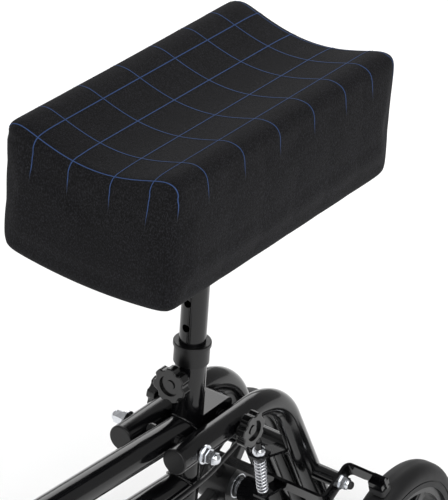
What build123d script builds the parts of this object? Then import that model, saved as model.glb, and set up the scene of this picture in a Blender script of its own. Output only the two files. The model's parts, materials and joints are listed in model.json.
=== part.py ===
"""Knee scooter: a padded knee rest on a telescopic post, a two-beam frame, a folding rear fork with two
wheels and a bar brake, and a steered front fork with a folding, telescopic handlebar column.

+Z is up, -Y is the way it travels and +X is the rider's left. Z = 0 is the floor and Y = 0 is midway
between the axles. Millimetres and degrees."""
from build123d import *
import math
import os

os.makedirs("parts", exist_ok=True)

# Driving dimensions ------------------------------------------------------------------------------
wheel_dia = 200.0
tyre_width = 32.0
tyre_depth = 22.0
wheelbase = 630.0
track = 206.0

beam_dia = 29.0
beam_wall = 2.0
beam_rise = 3.5
beam_gap = 64.0
seat_tube_dia = 30.0
seat_tube_below_beam = 24.0
seat_tube_above_pivot = 72.0
height_screw_above_pivot = 56.0
collar_above_pivot = 90.0
side_tube_dia = 25.4
side_tube_wall = 2.0
side_tube_spread = 61.0
side_tube_bend_radius = 80.0
pivot_ahead_of_axle = 265.0
fork_pivot_z = 326.0
side_tube_ahead = 29.6
side_tube_corner = 137.0
seat_post_behind_pivot = 33.5

post_dia = 25.4
post_wall = 2.0
post_length = 302.0
post_hole_dia = 8.0
post_hole_pitch = 26.0
pad_width = 181.0
pad_length = 342.0
pad_height = 123.0
pad_bottom_z = 555.6
pad_behind_pivot = 29.7
pad_dish_depth = 16.0
pad_dish_width = 150.0

steering_tilt = 3.0
head_tube_dia = 36.0
head_tube_wall = 2.5
head_tube_length = 124.0
steerer_dia = 25.4
column_dia = 38.0
column_length = 240.0
stem_dia = 31.8
stem_wall = 2.0
stem_overlap = 120.0
handlebar_height = 950.0
handlebar_width = 412.0
handlebar_dia = 22.2
grip_length = 100.0
grip_dia = 32.0

axle_dia = 12.0
bearing_dia = 28.0
bearing_width = 8.0
hub_width = 36.0
hub_dia = 48.0
axle_housing_dia = 28.0
axle_housing_length = 156.0

running_clearance = 0.05
side_gap = 0.3
soft_gap = 0.3
past = 20.0  # how far a shape that cuts runs past what it cuts

# Places that follow from them ----------------------------------------------------------------------
axle_z = wheel_dia / 2
rear_axle_y = wheelbase / 2
front_axle_y = -wheelbase / 2
fork_pivot_y = rear_axle_y - pivot_ahead_of_axle
half_spread = side_tube_spread / 2
seat_post_y = fork_pivot_y + seat_post_behind_pivot
side_tube_r = side_tube_dia / 2
side_tube_inner_face = half_spread - side_tube_r
side_tube_outer_face = half_spread + side_tube_r
corner_y = fork_pivot_y + side_tube_corner
leg_dir = Vector(0, rear_axle_y - corner_y, axle_z - fork_pivot_z).normalized()
tilt = math.radians(steering_tilt)
column = Plane(
    origin=(0, front_axle_y, axle_z),
    x_dir=(1, 0, 0),
    z_dir=(0, math.sin(tilt), math.cos(tilt)),
)
LOW = (Align.CENTER, Align.CENTER, Align.MIN)


def rod(start, end, radius):
    """A round bar from one point to another."""
    start, end = Vector(*start), Vector(*end)
    axis = end - start
    return Plane(origin=start, z_dir=axis) * Cylinder(radius, axis.length, align=LOW)


def pipe(start, end, outer, inner):
    """A round tube from one point to another."""
    return rod(start, end, outer) - rod(start, end, inner)


def cross_bar(half, y, z, radius):
    """A round bar across the centre plane, parallel to X."""
    return rod((-half, y, z), (half, y, z), radius)


def ring(outer, inner, height):
    """A ring that stands on the local XY plane."""
    return Cylinder(outer, height, align=LOW) - Cylinder(inner, height, align=LOW)


def hexagon(flats, height):
    """A hexagonal prism that stands on the local XY plane."""
    return extrude(RegularPolygon(flats / 2, 6, major_radius=False), height)


def facing(x, y, z, direction):
    """A plane at a point whose Z points along a direction."""
    return Plane(origin=(x, y, z), z_dir=direction)


def mirrored(shape):
    """The same shape on the other side of the centre plane."""
    return mirror(shape, Plane.YZ)


def group(*shapes):
    """Separate solids that share one node."""
    solids = [solid for shape in shapes for solid in shape.solids()]
    return Compound(children=solids)


def leg_point(distance):
    """The point of the leg's centre line this far up from the rear axle, on the centre plane."""
    return Vector(0, rear_axle_y, axle_z) - leg_dir * distance


def acorn_nut(bolt_r, flats, height):
    """A domed nut with a blind hole."""
    dome_r = flats * 0.45
    dome = Pos(0, 0, height) * Sphere(dome_r) & Pos(0, 0, height) * Cylinder(dome_r, dome_r, align=LOW)
    bore = Cylinder(bolt_r + running_clearance, height + 1, align=LOW)
    return hexagon(flats, height) + dome - bore


def star_knob(screw_length):
    """A seven-lobed plastic knob with a dished face, and its screw pointing down."""
    outline = Circle(knob_r) - PolarLocations(knob_r + knob_scallop_out, knob_lobes) * Circle(knob_scallop_r)
    outline = fillet(outline.vertices(), knob_lobe_round)
    head = Pos(0, 0, knob_hub_height) * extrude(outline, knob_head_height)
    rims = head.edges().filter_by_position(Axis.Z, knob_hub_height, knob_hub_height)
    rims += head.edges().filter_by_position(Axis.Z, knob_height, knob_height)
    head = fillet(rims, 1.2)
    dish = Pos(0, 0, knob_height - knob_dish_depth) * Cylinder(knob_dish_r, knob_dish_depth + 1, align=LOW)
    boss = Pos(0, 0, knob_height - knob_dish_depth) * Cylinder(knob_boss_r, knob_boss_height, align=LOW)
    hub = Cylinder(knob_hub_r, knob_hub_height, align=LOW)
    screw = Pos(0, 0, -screw_length) * Cylinder(screw_r, screw_length, align=LOW)
    return head - dish + hub + boss, screw


# Wheels ----------------------------------------------------------------------------------------------
wheel_r = wheel_dia / 2
rim_seat_r = wheel_r - tyre_depth
rim_depth = 7.0
rim_width = 26.0
spoke_count = 5
spoke_width = 15.0
spoke_thickness = 12.0
tread_round = 13.0
tyre_groove = 1.6
tyre_groove_r = rim_seat_r + tyre_depth * 0.3
bearing_shoulder = 4.0
axle_r = axle_dia / 2 - running_clearance
hub_end = track / 2 + hub_width / 2
bearing_recess = 0.5


def tyre():
    """A solid smooth tyre with a rounded tread and a groove round each side."""
    section = Pos(rim_seat_r + tyre_depth / 2, 0) * Rectangle(tyre_depth, tyre_width)
    outer_corners = section.vertices().sort_by(Axis.X)[-2:]
    section = fillet(outer_corners, tread_round)
    groove = Rectangle(tyre_groove, tyre_groove)
    for side in (-1, 1):
        section -= Pos(tyre_groove_r, side * tyre_width / 2) * groove
    return revolve(Plane.XZ * section, Axis.Z)


def wheel_centre():
    """A moulded rim, spokes and hub, bored for a bearing at each end."""
    rim = Pos(0, 0, -rim_width / 2) * ring(rim_seat_r, rim_seat_r - rim_depth, rim_width)
    hub = Pos(0, 0, -hub_width / 2) * Cylinder(hub_dia / 2, hub_width, align=LOW)
    reach = rim_seat_r - rim_depth / 2
    web = Pos(reach / 2, 0, 0) * Box(reach, spoke_width, spoke_thickness)
    web = fillet(web.edges().filter_by(Axis.X), 3.0)
    body = rim + hub + [Rot(0, 0, turn * 360 / spoke_count) * web for turn in range(spoke_count)]
    body -= Pos(0, 0, -hub_width / 2) * Cylinder(bearing_dia / 2 - bearing_shoulder, hub_width, align=LOW)
    for low in (-hub_width / 2, hub_width / 2 - bearing_width - bearing_recess):
        body -= Pos(0, 0, low) * Cylinder(bearing_dia / 2, bearing_width + bearing_recess, align=LOW)
    return body


def wheel_bearings():
    """The two ball bearings of one wheel, as plain rings."""
    low = -hub_width / 2 + bearing_recess
    lower = Pos(0, 0, low) * ring(bearing_dia / 2, axle_dia / 2, bearing_width)
    return lower, mirror(lower, Plane.XY)


def place_wheel(shape, side, axle_y):
    """Turns a wheel's part from its own Z axis to the axle and moves it to its corner."""
    return Pos(side * track / 2, axle_y, axle_z) * Rot(0, 90, 0) * shape


corners = {
    "rear_left": (1, rear_axle_y),
    "rear_right": (-1, rear_axle_y),
    "front_left": (1, front_axle_y),
    "front_right": (-1, front_axle_y),
}
parts = {}
for corner, (side, axle_y) in corners.items():
    parts[f"{corner}_tyre"] = place_wheel(tyre(), side, axle_y)
    centre = place_wheel(wheel_centre(), side, axle_y)
    bearings = [place_wheel(bearing, side, axle_y) for bearing in wheel_bearings()]
    parts[f"{corner}_wheel"] = group(centre, *bearings)

# Axles, the same at both ends ----------------------------------------------------------------------
axle_housing_half = axle_housing_length / 2
washer_thickness = 1.6
axle_nut_flats = 18.0
axle_nut_height = 8.0
axle_spacer_r = 9.0
bearing_inner_face = track / 2 - hub_width / 2 + bearing_recess
washer_x = hub_end - bearing_recess + side_gap
axle_end = washer_x + washer_thickness + axle_nut_height


def axle_housing(axle_y):
    """The tube that the axle runs through."""
    left, right = (axle_housing_half, axle_y, axle_z), (-axle_housing_half, axle_y, axle_z)
    return pipe(right, left, axle_housing_dia / 2, axle_dia / 2)


def axle(axle_y):
    """The axle rod with a spacer, a washer and a domed nut at each end."""
    shaft = cross_bar(axle_end, axle_y, axle_z, axle_r)
    at_end = facing(axle_housing_half, axle_y, axle_z, (1, 0, 0))
    spacer = at_end * ring(axle_spacer_r, axle_dia / 2, bearing_inner_face - side_gap - axle_housing_half)
    at_washer = facing(washer_x, axle_y, axle_z, (1, 0, 0))
    washer = at_washer * ring(axle_spacer_r + 2, axle_dia / 2, washer_thickness)
    at_nut = facing(washer_x + washer_thickness, axle_y, axle_z, (1, 0, 0))
    nut = at_nut * acorn_nut(axle_r, axle_nut_flats, axle_nut_height)
    left = [spacer, washer, nut]
    return group(shaft, *left, *[mirrored(piece) for piece in left])


for end, axle_y in (("rear", rear_axle_y), ("front", front_axle_y)):
    parts[f"{end}_axle_housing"] = axle_housing(axle_y)
    parts[f"{end}_axle"] = axle(axle_y)

# Main frame ------------------------------------------------------------------------------------------
rise_slope = math.tan(math.radians(beam_rise))
beam_dir = Vector(0, -math.cos(math.radians(beam_rise)), math.sin(math.radians(beam_rise)))
beam_r = beam_dia / 2
seat_tube_r = seat_tube_dia / 2
seat_bore_r = post_dia / 2 + running_clearance
head_tube_r = head_tube_dia / 2
beams_mid_rise = fork_pivot_z - beam_gap / 2 - axle_z + (fork_pivot_y - front_axle_y) * rise_slope
beams_mid_s = beams_mid_rise / (math.cos(tilt) + math.sin(tilt) * rise_slope)
head_low_s = beams_mid_s - head_tube_length / 2
head_high_s = beams_mid_s + head_tube_length / 2
head_y = column.from_local_coords((0, 0, beams_mid_s)).Y
beam_span = (seat_post_y - head_y) / math.cos(math.radians(beam_rise))
pivot_sleeve_r = 8.0
pivot_bolt_r = 5.0
pivot_bore_r = pivot_bolt_r + running_clearance

seat_tube_top = fork_pivot_z + seat_tube_above_pivot
seat_tube_bottom = fork_pivot_z - beam_gap - beam_r - seat_tube_below_beam
height_screw_z = fork_pivot_z + height_screw_above_pivot
screw_r = 4.0
screw_hole_r = screw_r + running_clearance
boss_r = 8.0
boss_reach = 6.0


def upright(low, high, radius):
    """A round bar on the seat post's axis."""
    return rod((0, seat_post_y, low), (0, seat_post_y, high), radius)


def beam(drop):
    """One of the two parallel beams, coped to the seat tube and the head tube."""
    start = Vector(0, seat_post_y, fork_pivot_z - drop - seat_post_behind_pivot * rise_slope)
    end = start + beam_dir * beam_span
    shape = pipe(start, end, beam_r, beam_r - beam_wall)
    seat_tube_space = upright(seat_tube_bottom - past, seat_tube_top + past, seat_tube_r)
    head_space = Pos(0, 0, head_low_s - past) * Cylinder(head_tube_r, head_tube_length + 2 * past, align=LOW)
    return shape - seat_tube_space - column * head_space


pivot_left = Vector(side_tube_inner_face - side_gap, fork_pivot_y, fork_pivot_z)
pivot_right = Vector(-pivot_left.X, fork_pivot_y, fork_pivot_z)
upper_beam = beam(0) - rod(pivot_right, pivot_left, pivot_sleeve_r)
parts["upper_beam"] = upper_beam + pipe(pivot_right, pivot_left, pivot_sleeve_r, pivot_bore_r)
parts["lower_beam"] = beam(beam_gap)

seat_tube = upright(seat_tube_bottom, seat_tube_top, seat_tube_r)
boss_face_y = seat_post_y - seat_tube_r - boss_reach
boss = rod((0, boss_face_y, height_screw_z), (0, seat_post_y, height_screw_z), boss_r)
seat_bore = upright(seat_tube_bottom, seat_tube_top, seat_bore_r)
screw_way = rod((0, boss_face_y, height_screw_z), (0, seat_post_y, height_screw_z), screw_hole_r)
parts["seat_tube"] = seat_tube + boss - seat_bore - screw_way

collar_wall = 1.8
collar_rim = 1.2
collar_rim_height = 4.0
collar_skirt = 3.5
collar_r = seat_tube_r + collar_wall
collar_low = seat_tube_top - collar_skirt
collar_high = fork_pivot_z + collar_above_pivot
collar = upright(collar_low, collar_high, collar_r)
collar += upright(collar_high - collar_rim_height, collar_high, collar_r + collar_rim)
collar = fillet(collar.edges().filter_by_position(Axis.Z, collar_high, collar_high), 1.0)
collar -= upright(collar_low, seat_tube_top, seat_tube_r + running_clearance)
collar -= upright(collar_low, collar_high, seat_bore_r)
parts["seat_collar"] = collar

cup_height = 11.4
cup_r = 21.0
cup_lip = 8.0
head_bore_r = head_tube_r - head_tube_wall
parts["head_tube"] = column * Pos(0, 0, head_low_s) * ring(head_tube_r, head_bore_r, head_tube_length)


def headset_cup():
    """A pressed bearing cup whose lip sits in the head tube; it stands on the tube's end."""
    cup = Cylinder(cup_r, cup_height, align=LOW)
    cup = fillet(cup.edges().group_by(Axis.Z)[-1], 2.0)
    lip = Cylinder(head_bore_r, cup_lip, align=LOW)
    way = Cylinder(steerer_dia / 2 + running_clearance, cup_height + cup_lip, align=LOW)
    return cup + Pos(0, 0, -cup_lip) * lip - Pos(0, 0, -cup_lip) * way


upper_cup = column * Pos(0, 0, head_high_s) * headset_cup()
lower_cup = column * Pos(0, 0, head_low_s) * Rot(180, 0, 0) * headset_cup()
parts["headset_cups"] = group(upper_cup, lower_cup)

# The bracket that the fold knobs clamp, a channel behind the seat tube
lock_wall = 3.0
lock_length = 48.0
lock_height = 30.0
lock_round = 8.0
lock_face_x = side_tube_inner_face - 2 * side_gap
lock_mid_y = seat_post_y + lock_length / 2
lock_block = Pos(0, lock_mid_y, fork_pivot_z) * Box(2 * lock_face_x, lock_length, lock_height)
lock_block = fillet(lock_block.edges().filter_by(Axis.X).group_by(Axis.Y)[-1], lock_round)
lock_hollow = Box(2 * (lock_face_x - lock_wall), lock_length, lock_height)
lock_block -= Pos(0, lock_mid_y, fork_pivot_z - lock_wall) * lock_hollow
lock_block -= upright(fork_pivot_z - lock_height, fork_pivot_z + lock_height, seat_tube_r)
parts["lock_bracket"] = lock_block

# The bracket for a basket, on the front of the head tube
basket_hole_spacing = 44.0
basket_hole_r = 3.2
basket_reach = 22.0
basket_plate_size = (70.0, 3.0, 40.0)
basket_arm_x = 9.0
basket_arm_height = 24.0
basket_plate_y = head_y - head_tube_r - basket_reach
basket_z = fork_pivot_z - 12.0
basket_plate = Pos(0, basket_plate_y, basket_z) * Box(*basket_plate_size)
basket_plate = fillet(basket_plate.edges().filter_by(Axis.Y), 6.0)
basket_plate -= [
    rod((x, basket_plate_y - 2, basket_z), (x, basket_plate_y + 2, basket_z), basket_hole_r)
    for x in (-basket_hole_spacing / 2, basket_hole_spacing / 2)
]
arm_block = Box(basket_plate_size[1], head_y - basket_plate_y, basket_arm_height)
arms = [Pos(x, (basket_plate_y + head_y) / 2, basket_z) * arm_block for x in (-basket_arm_x, basket_arm_x)]
head_tube_space = column * Pos(0, 0, head_low_s) * Cylinder(head_tube_r, head_tube_length, align=LOW)
parts["basket_bracket"] = basket_plate + [arm - head_tube_space for arm in arms]

# Rear fork -------------------------------------------------------------------------------------------
bush_r = 7.0
fold_screw_behind_pivot = 63.0
fold_screw_y = fork_pivot_y + fold_screw_behind_pivot
cap_thickness = 3.0
cap_plug = 12.0
brake_pivot_up = 118.0
brake_pivot = leg_point(brake_pivot_up)
stub_r = 8.0
stub_bore_r = 4.05
brake_arm_x = 68.0
brake_strip = 3.0
brake_strip_width = 18.0
stub_end = brake_arm_x - brake_strip / 2 - side_gap


def side_tube():
    """The left bent tube: level along the frame, then down the leg to the axle housing."""
    points = [
        (half_spread, fork_pivot_y - side_tube_ahead + cap_thickness, fork_pivot_z),
        (half_spread, corner_y, fork_pivot_z),
        (half_spread, rear_axle_y, axle_z),
    ]
    path = FilletPolyline(*points, radius=side_tube_bend_radius)
    start = Plane(origin=points[0], z_dir=(0, 1, 0))
    outside = sweep(start * Circle(side_tube_r), path=path)
    inside = sweep(start * Circle(side_tube_r - side_tube_wall), path=path)
    stub_start = (half_spread, brake_pivot.Y, brake_pivot.Z)
    stub = rod(stub_start, (stub_end, brake_pivot.Y, brake_pivot.Z), stub_r)
    shape = outside + stub - inside
    shape -= rod(stub_start, (stub_end + 1, brake_pivot.Y, brake_pivot.Z), stub_bore_r)
    shape -= rod((0, rear_axle_y, axle_z), (2 * half_spread, rear_axle_y, axle_z), axle_housing_dia / 2)
    for y in (fork_pivot_y, fold_screw_y):
        shape -= rod((0, y, fork_pivot_z), (2 * half_spread, y, fork_pivot_z), bush_r)
    return shape


def side_tube_bush(y, bore):
    """A turned bush across the left side tube."""
    inner_end, outer_end = (side_tube_inner_face, y, fork_pivot_z), (side_tube_outer_face, y, fork_pivot_z)
    return pipe(inner_end, outer_end, bush_r, bore)


def side_tube_cap():
    """The plastic cap in the front end of the left side tube."""
    front_y = fork_pivot_y - side_tube_ahead
    face = (half_spread, front_y, fork_pivot_z)
    tube_end = (half_spread, front_y + cap_thickness, fork_pivot_z)
    plug_end = (half_spread, front_y + cap_thickness + cap_plug, fork_pivot_z)
    cap = rod(face, tube_end, side_tube_r)
    cap = fillet(cap.edges().filter_by_position(Axis.Y, front_y, front_y), 1.5)
    return cap + rod(tube_end, plug_end, side_tube_r - side_tube_wall - running_clearance)


left_tube = side_tube()
parts["left_side_tube"] = left_tube
parts["right_side_tube"] = mirrored(left_tube)
left_bushes = [side_tube_bush(fork_pivot_y, pivot_bore_r), side_tube_bush(fold_screw_y, screw_hole_r)]
parts["side_tube_bushes"] = group(*left_bushes, *[mirrored(bush) for bush in left_bushes])
left_cap = side_tube_cap()
parts["side_tube_caps"] = group(left_cap, mirrored(left_cap))

cross_tube_up = 148.0
cross_tube_r = 9.0
cross_centre = leg_point(cross_tube_up)
strut_r = 9.0
leg_space = rod((half_spread, rear_axle_y, axle_z), (half_spread, corner_y, fork_pivot_z), side_tube_r)
cross_tube = cross_bar(half_spread, cross_centre.Y, cross_centre.Z, cross_tube_r)
strut = rod(leg_point(0), leg_point(cross_tube_up), strut_r)
housing_space = cross_bar(axle_housing_half, rear_axle_y, axle_z, axle_housing_dia / 2)
cross_tube -= [leg_space, mirrored(leg_space)]
parts["fork_brace"] = group(cross_tube, strut - housing_space - cross_tube)

# The pivot bolt of the rear fork, with a washer, a hex nut and a domed nut at each end
pivot_washer_r = 9.5
pivot_nut_flats = 14.0
pivot_nut_height = 4.0
pivot_dome_flats = 12.0
pivot_dome_height = 7.0
pivot_washer_x = side_tube_outer_face + side_gap
pivot_nut_x = pivot_washer_x + washer_thickness
pivot_dome_x = pivot_nut_x + pivot_nut_height
pivot_end = pivot_dome_x + pivot_dome_height
pivot_shaft = cross_bar(pivot_end, fork_pivot_y, fork_pivot_z, pivot_bolt_r)


def on_pivot(x, shape):
    """Moves a fastener from its own Z axis to the left end of the pivot bolt."""
    return facing(x, fork_pivot_y, fork_pivot_z, (1, 0, 0)) * shape


pivot_hardware = [
    on_pivot(pivot_washer_x, ring(pivot_washer_r, pivot_bore_r, washer_thickness)),
    on_pivot(pivot_nut_x, hexagon(pivot_nut_flats, pivot_nut_height) - Cylinder(pivot_bore_r, past)),
    on_pivot(pivot_dome_x, acorn_nut(pivot_bolt_r, pivot_dome_flats, pivot_dome_height)),
]
parts["fork_pivot_bolt"] = group(pivot_shaft, *pivot_hardware, *[mirrored(piece) for piece in pivot_hardware])

# Knobs ------------------------------------------------------------------------------------------------
knob_r = 18.0
knob_lobes = 7
knob_scallop_r = 5.2
knob_scallop_out = 2.6
knob_lobe_round = 2.0
knob_hub_r = 9.0
knob_hub_height = 3.0
knob_head_height = 10.0
knob_height = knob_hub_height + knob_head_height
knob_dish_r = 10.5
knob_dish_depth = 2.5
knob_boss_r = 4.7
knob_boss_height = 1.2

height_knob_y = boss_face_y - side_gap
height_knob_at = facing(0, height_knob_y, height_screw_z, (0, -1, 0))
screw_tip_gap = 1.5
head, screw = star_knob(seat_post_y - post_dia / 2 - screw_tip_gap - height_knob_y)
parts["height_knob"] = group(height_knob_at * head, height_knob_at * screw)

fold_knob_x = side_tube_outer_face + side_gap
fold_knob_at = facing(fold_knob_x, fold_screw_y, fork_pivot_z, (1, 0, 0))
head, screw = star_knob(fold_knob_x - lock_face_x - side_gap)
left_knob = [fold_knob_at * head, fold_knob_at * screw]
parts["left_fold_knob"] = group(*left_knob)
parts["right_fold_knob"] = group(*[mirrored(piece) for piece in left_knob])

# Seat post and knee pad ---------------------------------------------------------------------------------
plate_thickness = 3.0
plate_length = 150.0
plate_width = 96.0
board_thickness = 12.0
board_inset = 6.0
pad_y = fork_pivot_y + pad_behind_pivot
pad_top_z = pad_bottom_z + pad_height
pad_corner_r = 20.0
pad_top_round = 10.0
cover_wall = 2.0
pad_screw_r = 3.0
pad_screw_spread = (72.0, 120.0)
hole_margin = 20.0
gusset_size = 26.0
gusset_thickness = 3.0

plate_low = pad_bottom_z - plate_thickness
post_low = plate_low - post_length
post_r = post_dia / 2
post = upright(post_low, plate_low, post_r) - upright(post_low, plate_low, post_r - post_wall)
holes_below = int((height_screw_z - post_low - hole_margin) // post_hole_pitch)
holes_above = int((plate_low - height_screw_z - hole_margin) // post_hole_pitch)
for step in range(-holes_below, holes_above + 1):
    hole_z = height_screw_z + step * post_hole_pitch
    post -= rod((0, seat_post_y, hole_z), (0, seat_post_y - post_dia, hole_z), post_hole_dia / 2)
pad_screw_places = [
    (sx * pad_screw_spread[0] / 2, pad_y + sy * pad_screw_spread[1] / 2) for sx in (-1, 1) for sy in (-1, 1)
]
plate = Pos(0, pad_y, plate_low + plate_thickness / 2) * Box(plate_width, plate_length, plate_thickness)
plate = fillet(plate.edges().filter_by(Axis.Z), 8.0)
for x, y in pad_screw_places:
    plate -= rod((x, y, plate_low), (x, y, pad_bottom_z), pad_screw_r + running_clearance)
gusset_root = post_r - post_wall / 4
gusset = Polyline((gusset_root, -gusset_size), (gusset_root, 0), (post_r + gusset_size, 0), close=True)
gusset_at = Plane(origin=(0, seat_post_y, plate_low), x_dir=(0, 1, 0), z_dir=(1, 0, 0))
gusset = extrude(gusset_at * make_face(gusset), gusset_thickness / 2, both=True)
front_gusset = mirror(gusset, Plane(origin=(0, seat_post_y, 0), z_dir=(0, 1, 0)))
parts["seat_post"] = post + plate + gusset + front_gusset


def pad_block(inset, low, high):
    """The pad's form, inset from its outside, from one height to another, with the dished top."""
    width, length = pad_width - 2 * inset, pad_length - 2 * inset
    block = Pos(0, pad_y, (low + high) / 2) * Box(width, length, high - low)
    block = fillet(block.edges().filter_by(Axis.Z), pad_corner_r - inset)
    block = fillet(block.edges().group_by(Axis.Z)[-1], pad_top_round - inset)
    dish_r = ((pad_dish_width / 2) ** 2 + pad_dish_depth**2) / (2 * pad_dish_depth) + inset
    axis_z = high + dish_r - pad_dish_depth
    dish = rod((0, pad_y - pad_length, axis_z), (0, pad_y + pad_length, axis_z), dish_r)
    return block - dish


cover_inside = pad_block(cover_wall, pad_bottom_z - 1, pad_top_z - cover_wall)
parts["pad_cover"] = pad_block(0, pad_bottom_z, pad_top_z) - cover_inside
board = Pos(0, pad_y, pad_bottom_z + board_thickness / 2) * Box(
    pad_width - 2 * board_inset, pad_length - 2 * board_inset, board_thickness
)
board = fillet(board.edges().filter_by(Axis.Z), pad_corner_r - board_inset)
pad_screw_way_r = pad_screw_r + running_clearance
for x, y in pad_screw_places:
    board -= rod((x, y, pad_bottom_z), (x, y, pad_bottom_z + board_thickness), pad_screw_way_r)
parts["pad_board"] = board
foam_inset = cover_wall + soft_gap
parts["pad_foam"] = pad_block(foam_inset, pad_bottom_z + board_thickness, pad_top_z - foam_inset)
screw_head_height = 3.5
pad_screws = [
    rod((x, y, plate_low), (x, y, pad_bottom_z + board_thickness - 1), pad_screw_r)
    + rod((x, y, plate_low - screw_head_height), (x, y, plate_low), 2 * pad_screw_r)
    for x, y in pad_screw_places
]
parts["pad_screws"] = group(*pad_screws)

# Rear brake ---------------------------------------------------------------------------------------------
brake_span_back = 27.0
brake_wing_out = 17.0
brake_bend_r = 6.0
wing_overhang = 10.0
shoe_gap = 3.0
shoe_size = (18.0, 15.0, 8.0)
tab_size = (16.0, 13.0, 8.0)
arm_dir = Vector(0, -leg_dir.Z, leg_dir.Y)
brake = Plane(origin=brake_pivot, x_dir=(1, 0, 0), z_dir=Vector(1, 0, 0).cross(arm_dir))
wing_x = track / 2
strip_points = [
    (-wing_x - wing_overhang, brake_wing_out),
    (-brake_arm_x, brake_wing_out),
    (-brake_arm_x, -brake_span_back),
    (brake_arm_x, -brake_span_back),
    (brake_arm_x, brake_wing_out),
    (wing_x + wing_overhang, brake_wing_out),
]
strip_path = FilletPolyline(*strip_points, radius=brake_bend_r)
strip_start = Plane(origin=(*strip_points[0], 0), z_dir=(1, 0, 0))
strip = sweep(strip_start * Rectangle(brake_strip_width, brake_strip), path=strip_path)
strip -= Rot(0, 90, 0) * Cylinder(stub_bore_r, 4 * brake_arm_x)
strip = brake * strip
wing_point = brake_pivot + arm_dir * brake_wing_out
to_axle = (Vector(0, rear_axle_y, axle_z) - wing_point).normalized()
wing_distance = (Vector(0, rear_axle_y, axle_z) - wing_point).length
shoe_top = wheel_r + shoe_gap + shoe_size[2]
shoe_seat = wing_distance - shoe_top
tab = Pos(0, 0, shoe_seat - tab_size[2]) * Box(*tab_size, align=LOW)
shoe = Pos(0, 0, shoe_seat) * Box(*shoe_size, align=LOW)
shoe = fillet(shoe.edges().filter_by(Axis.Z), 3.0)
below_shoe = Pos(0, 0, shoe_seat) * Box(2 * tab_size[0], 2 * tab_size[0], 3 * shoe_size[2], align=LOW)
over_wheels = [
    Plane(origin=(x, wing_point.Y, wing_point.Z), x_dir=(1, 0, 0), z_dir=to_axle) for x in (-wing_x, wing_x)
]

# The cable stop on the cross tube, and the spring and wire between it and the brake bar
cable_x = 15.0
spring_behind_pivot = 141.0
spring_below_pivot = 84.0
spring_top = Vector(cable_x, fork_pivot_y + spring_behind_pivot, fork_pivot_z - spring_below_pivot)
spring_length = 50.0
spring_r = 4.6
spring_wire_r = 0.8
spring_turns = 11
spring_dir = Vector(0, 0.24, -0.97).normalized()
spring_low = spring_top + spring_dir * spring_length
stop_thickness = 3.0
stop_width = 16.0
barrel_r = 3.6
barrel_length = 16.0
barrel_nut_flats = 11.0
barrel_nut_height = 4.0
wire_r = 0.8
wire_way_r = wire_r + 0.4
lug_thickness = 3.0
lug_width = 14.0
nipple_r = 3.0
nipple_length = 5.0
along_spring = Plane(origin=spring_top, x_dir=(1, 0, 0), z_dir=spring_dir)
stop_reach = (cross_centre - Vector(0, spring_top.Y, spring_top.Z)).length
stop = along_spring * Pos(0, 0, -stop_thickness) * Box(stop_width, stop_width, stop_thickness, align=LOW)
stop_arm_end = Vector(cable_x, cross_centre.Y, cross_centre.Z)
stop_arm_dir = (stop_arm_end - (spring_top - spring_dir * stop_thickness / 2)).normalized()
arm_plane = Plane(origin=spring_top - spring_dir * (stop_thickness / 2), x_dir=(1, 0, 0), z_dir=stop_arm_dir)
stop += arm_plane * Box(stop_width, stop_thickness, stop_reach, align=LOW)
stop -= along_spring * Cylinder(barrel_r - spring_wire_r, 4 * stop_thickness)
cross_space = cross_bar(half_spread, cross_centre.Y, cross_centre.Z, cross_tube_r)
stop -= [cross_space, leg_space]
barrel = Pos(0, 0, -stop_thickness - barrel_length) * ring(barrel_r, wire_way_r, barrel_length)
barrel_nut = hexagon(barrel_nut_flats, barrel_nut_height) - Cylinder(barrel_r, past)
barrel_nut = Pos(0, 0, -stop_thickness - barrel_nut_height) * barrel_nut
parts["cable_stop"] = group(stop, along_spring * barrel, along_spring * barrel_nut)

at_lug = Plane(origin=spring_low, x_dir=(1, 0, 0), z_dir=spring_dir)
span_point = brake_pivot - arm_dir * brake_span_back
lug_reach = Vector(cable_x, span_point.Y, span_point.Z) - spring_low
at_lug_arm = Plane(origin=spring_low + spring_dir * (lug_thickness / 2), x_dir=(1, 0, 0), z_dir=lug_reach)
lug = at_lug * Box(lug_width, lug_width, lug_thickness, align=LOW)
lug += at_lug_arm * Box(lug_width, lug_thickness, lug_reach.length, align=LOW)
lug -= at_lug * Cylinder(wire_way_r, 4 * lug_thickness)
lug -= at_lug * Pos(0, 0, lug_thickness) * Cylinder(nipple_r + 1, 2 * nipple_length, align=LOW)
wings = strip - [at * below_shoe for at in over_wheels]
parts["brake_bar"] = wings + [at * tab for at in over_wheels] + lug
parts["brake_shoes"] = group(*[at * shoe for at in over_wheels])

coil_gap = 0.4
coil_height = spring_length - 2 * (spring_wire_r + coil_gap)
coil = Helix(pitch=coil_height / spring_turns, height=coil_height, radius=spring_r - spring_wire_r)
coil_shape = sweep(Plane(origin=coil @ 0, z_dir=coil % 0) * Circle(spring_wire_r), path=coil, is_frenet=True)
parts["return_spring"] = along_spring * Pos(0, 0, spring_wire_r + coil_gap) * coil_shape
wire_end = spring_low + spring_dir * (lug_thickness + side_gap)
wire = rod(spring_top - spring_dir * (stop_thickness + barrel_length), wire_end, wire_r)
nipple = rod(wire_end, wire_end + spring_dir * nipple_length, nipple_r)
parts["brake_wire"] = group(wire, nipple)

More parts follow.
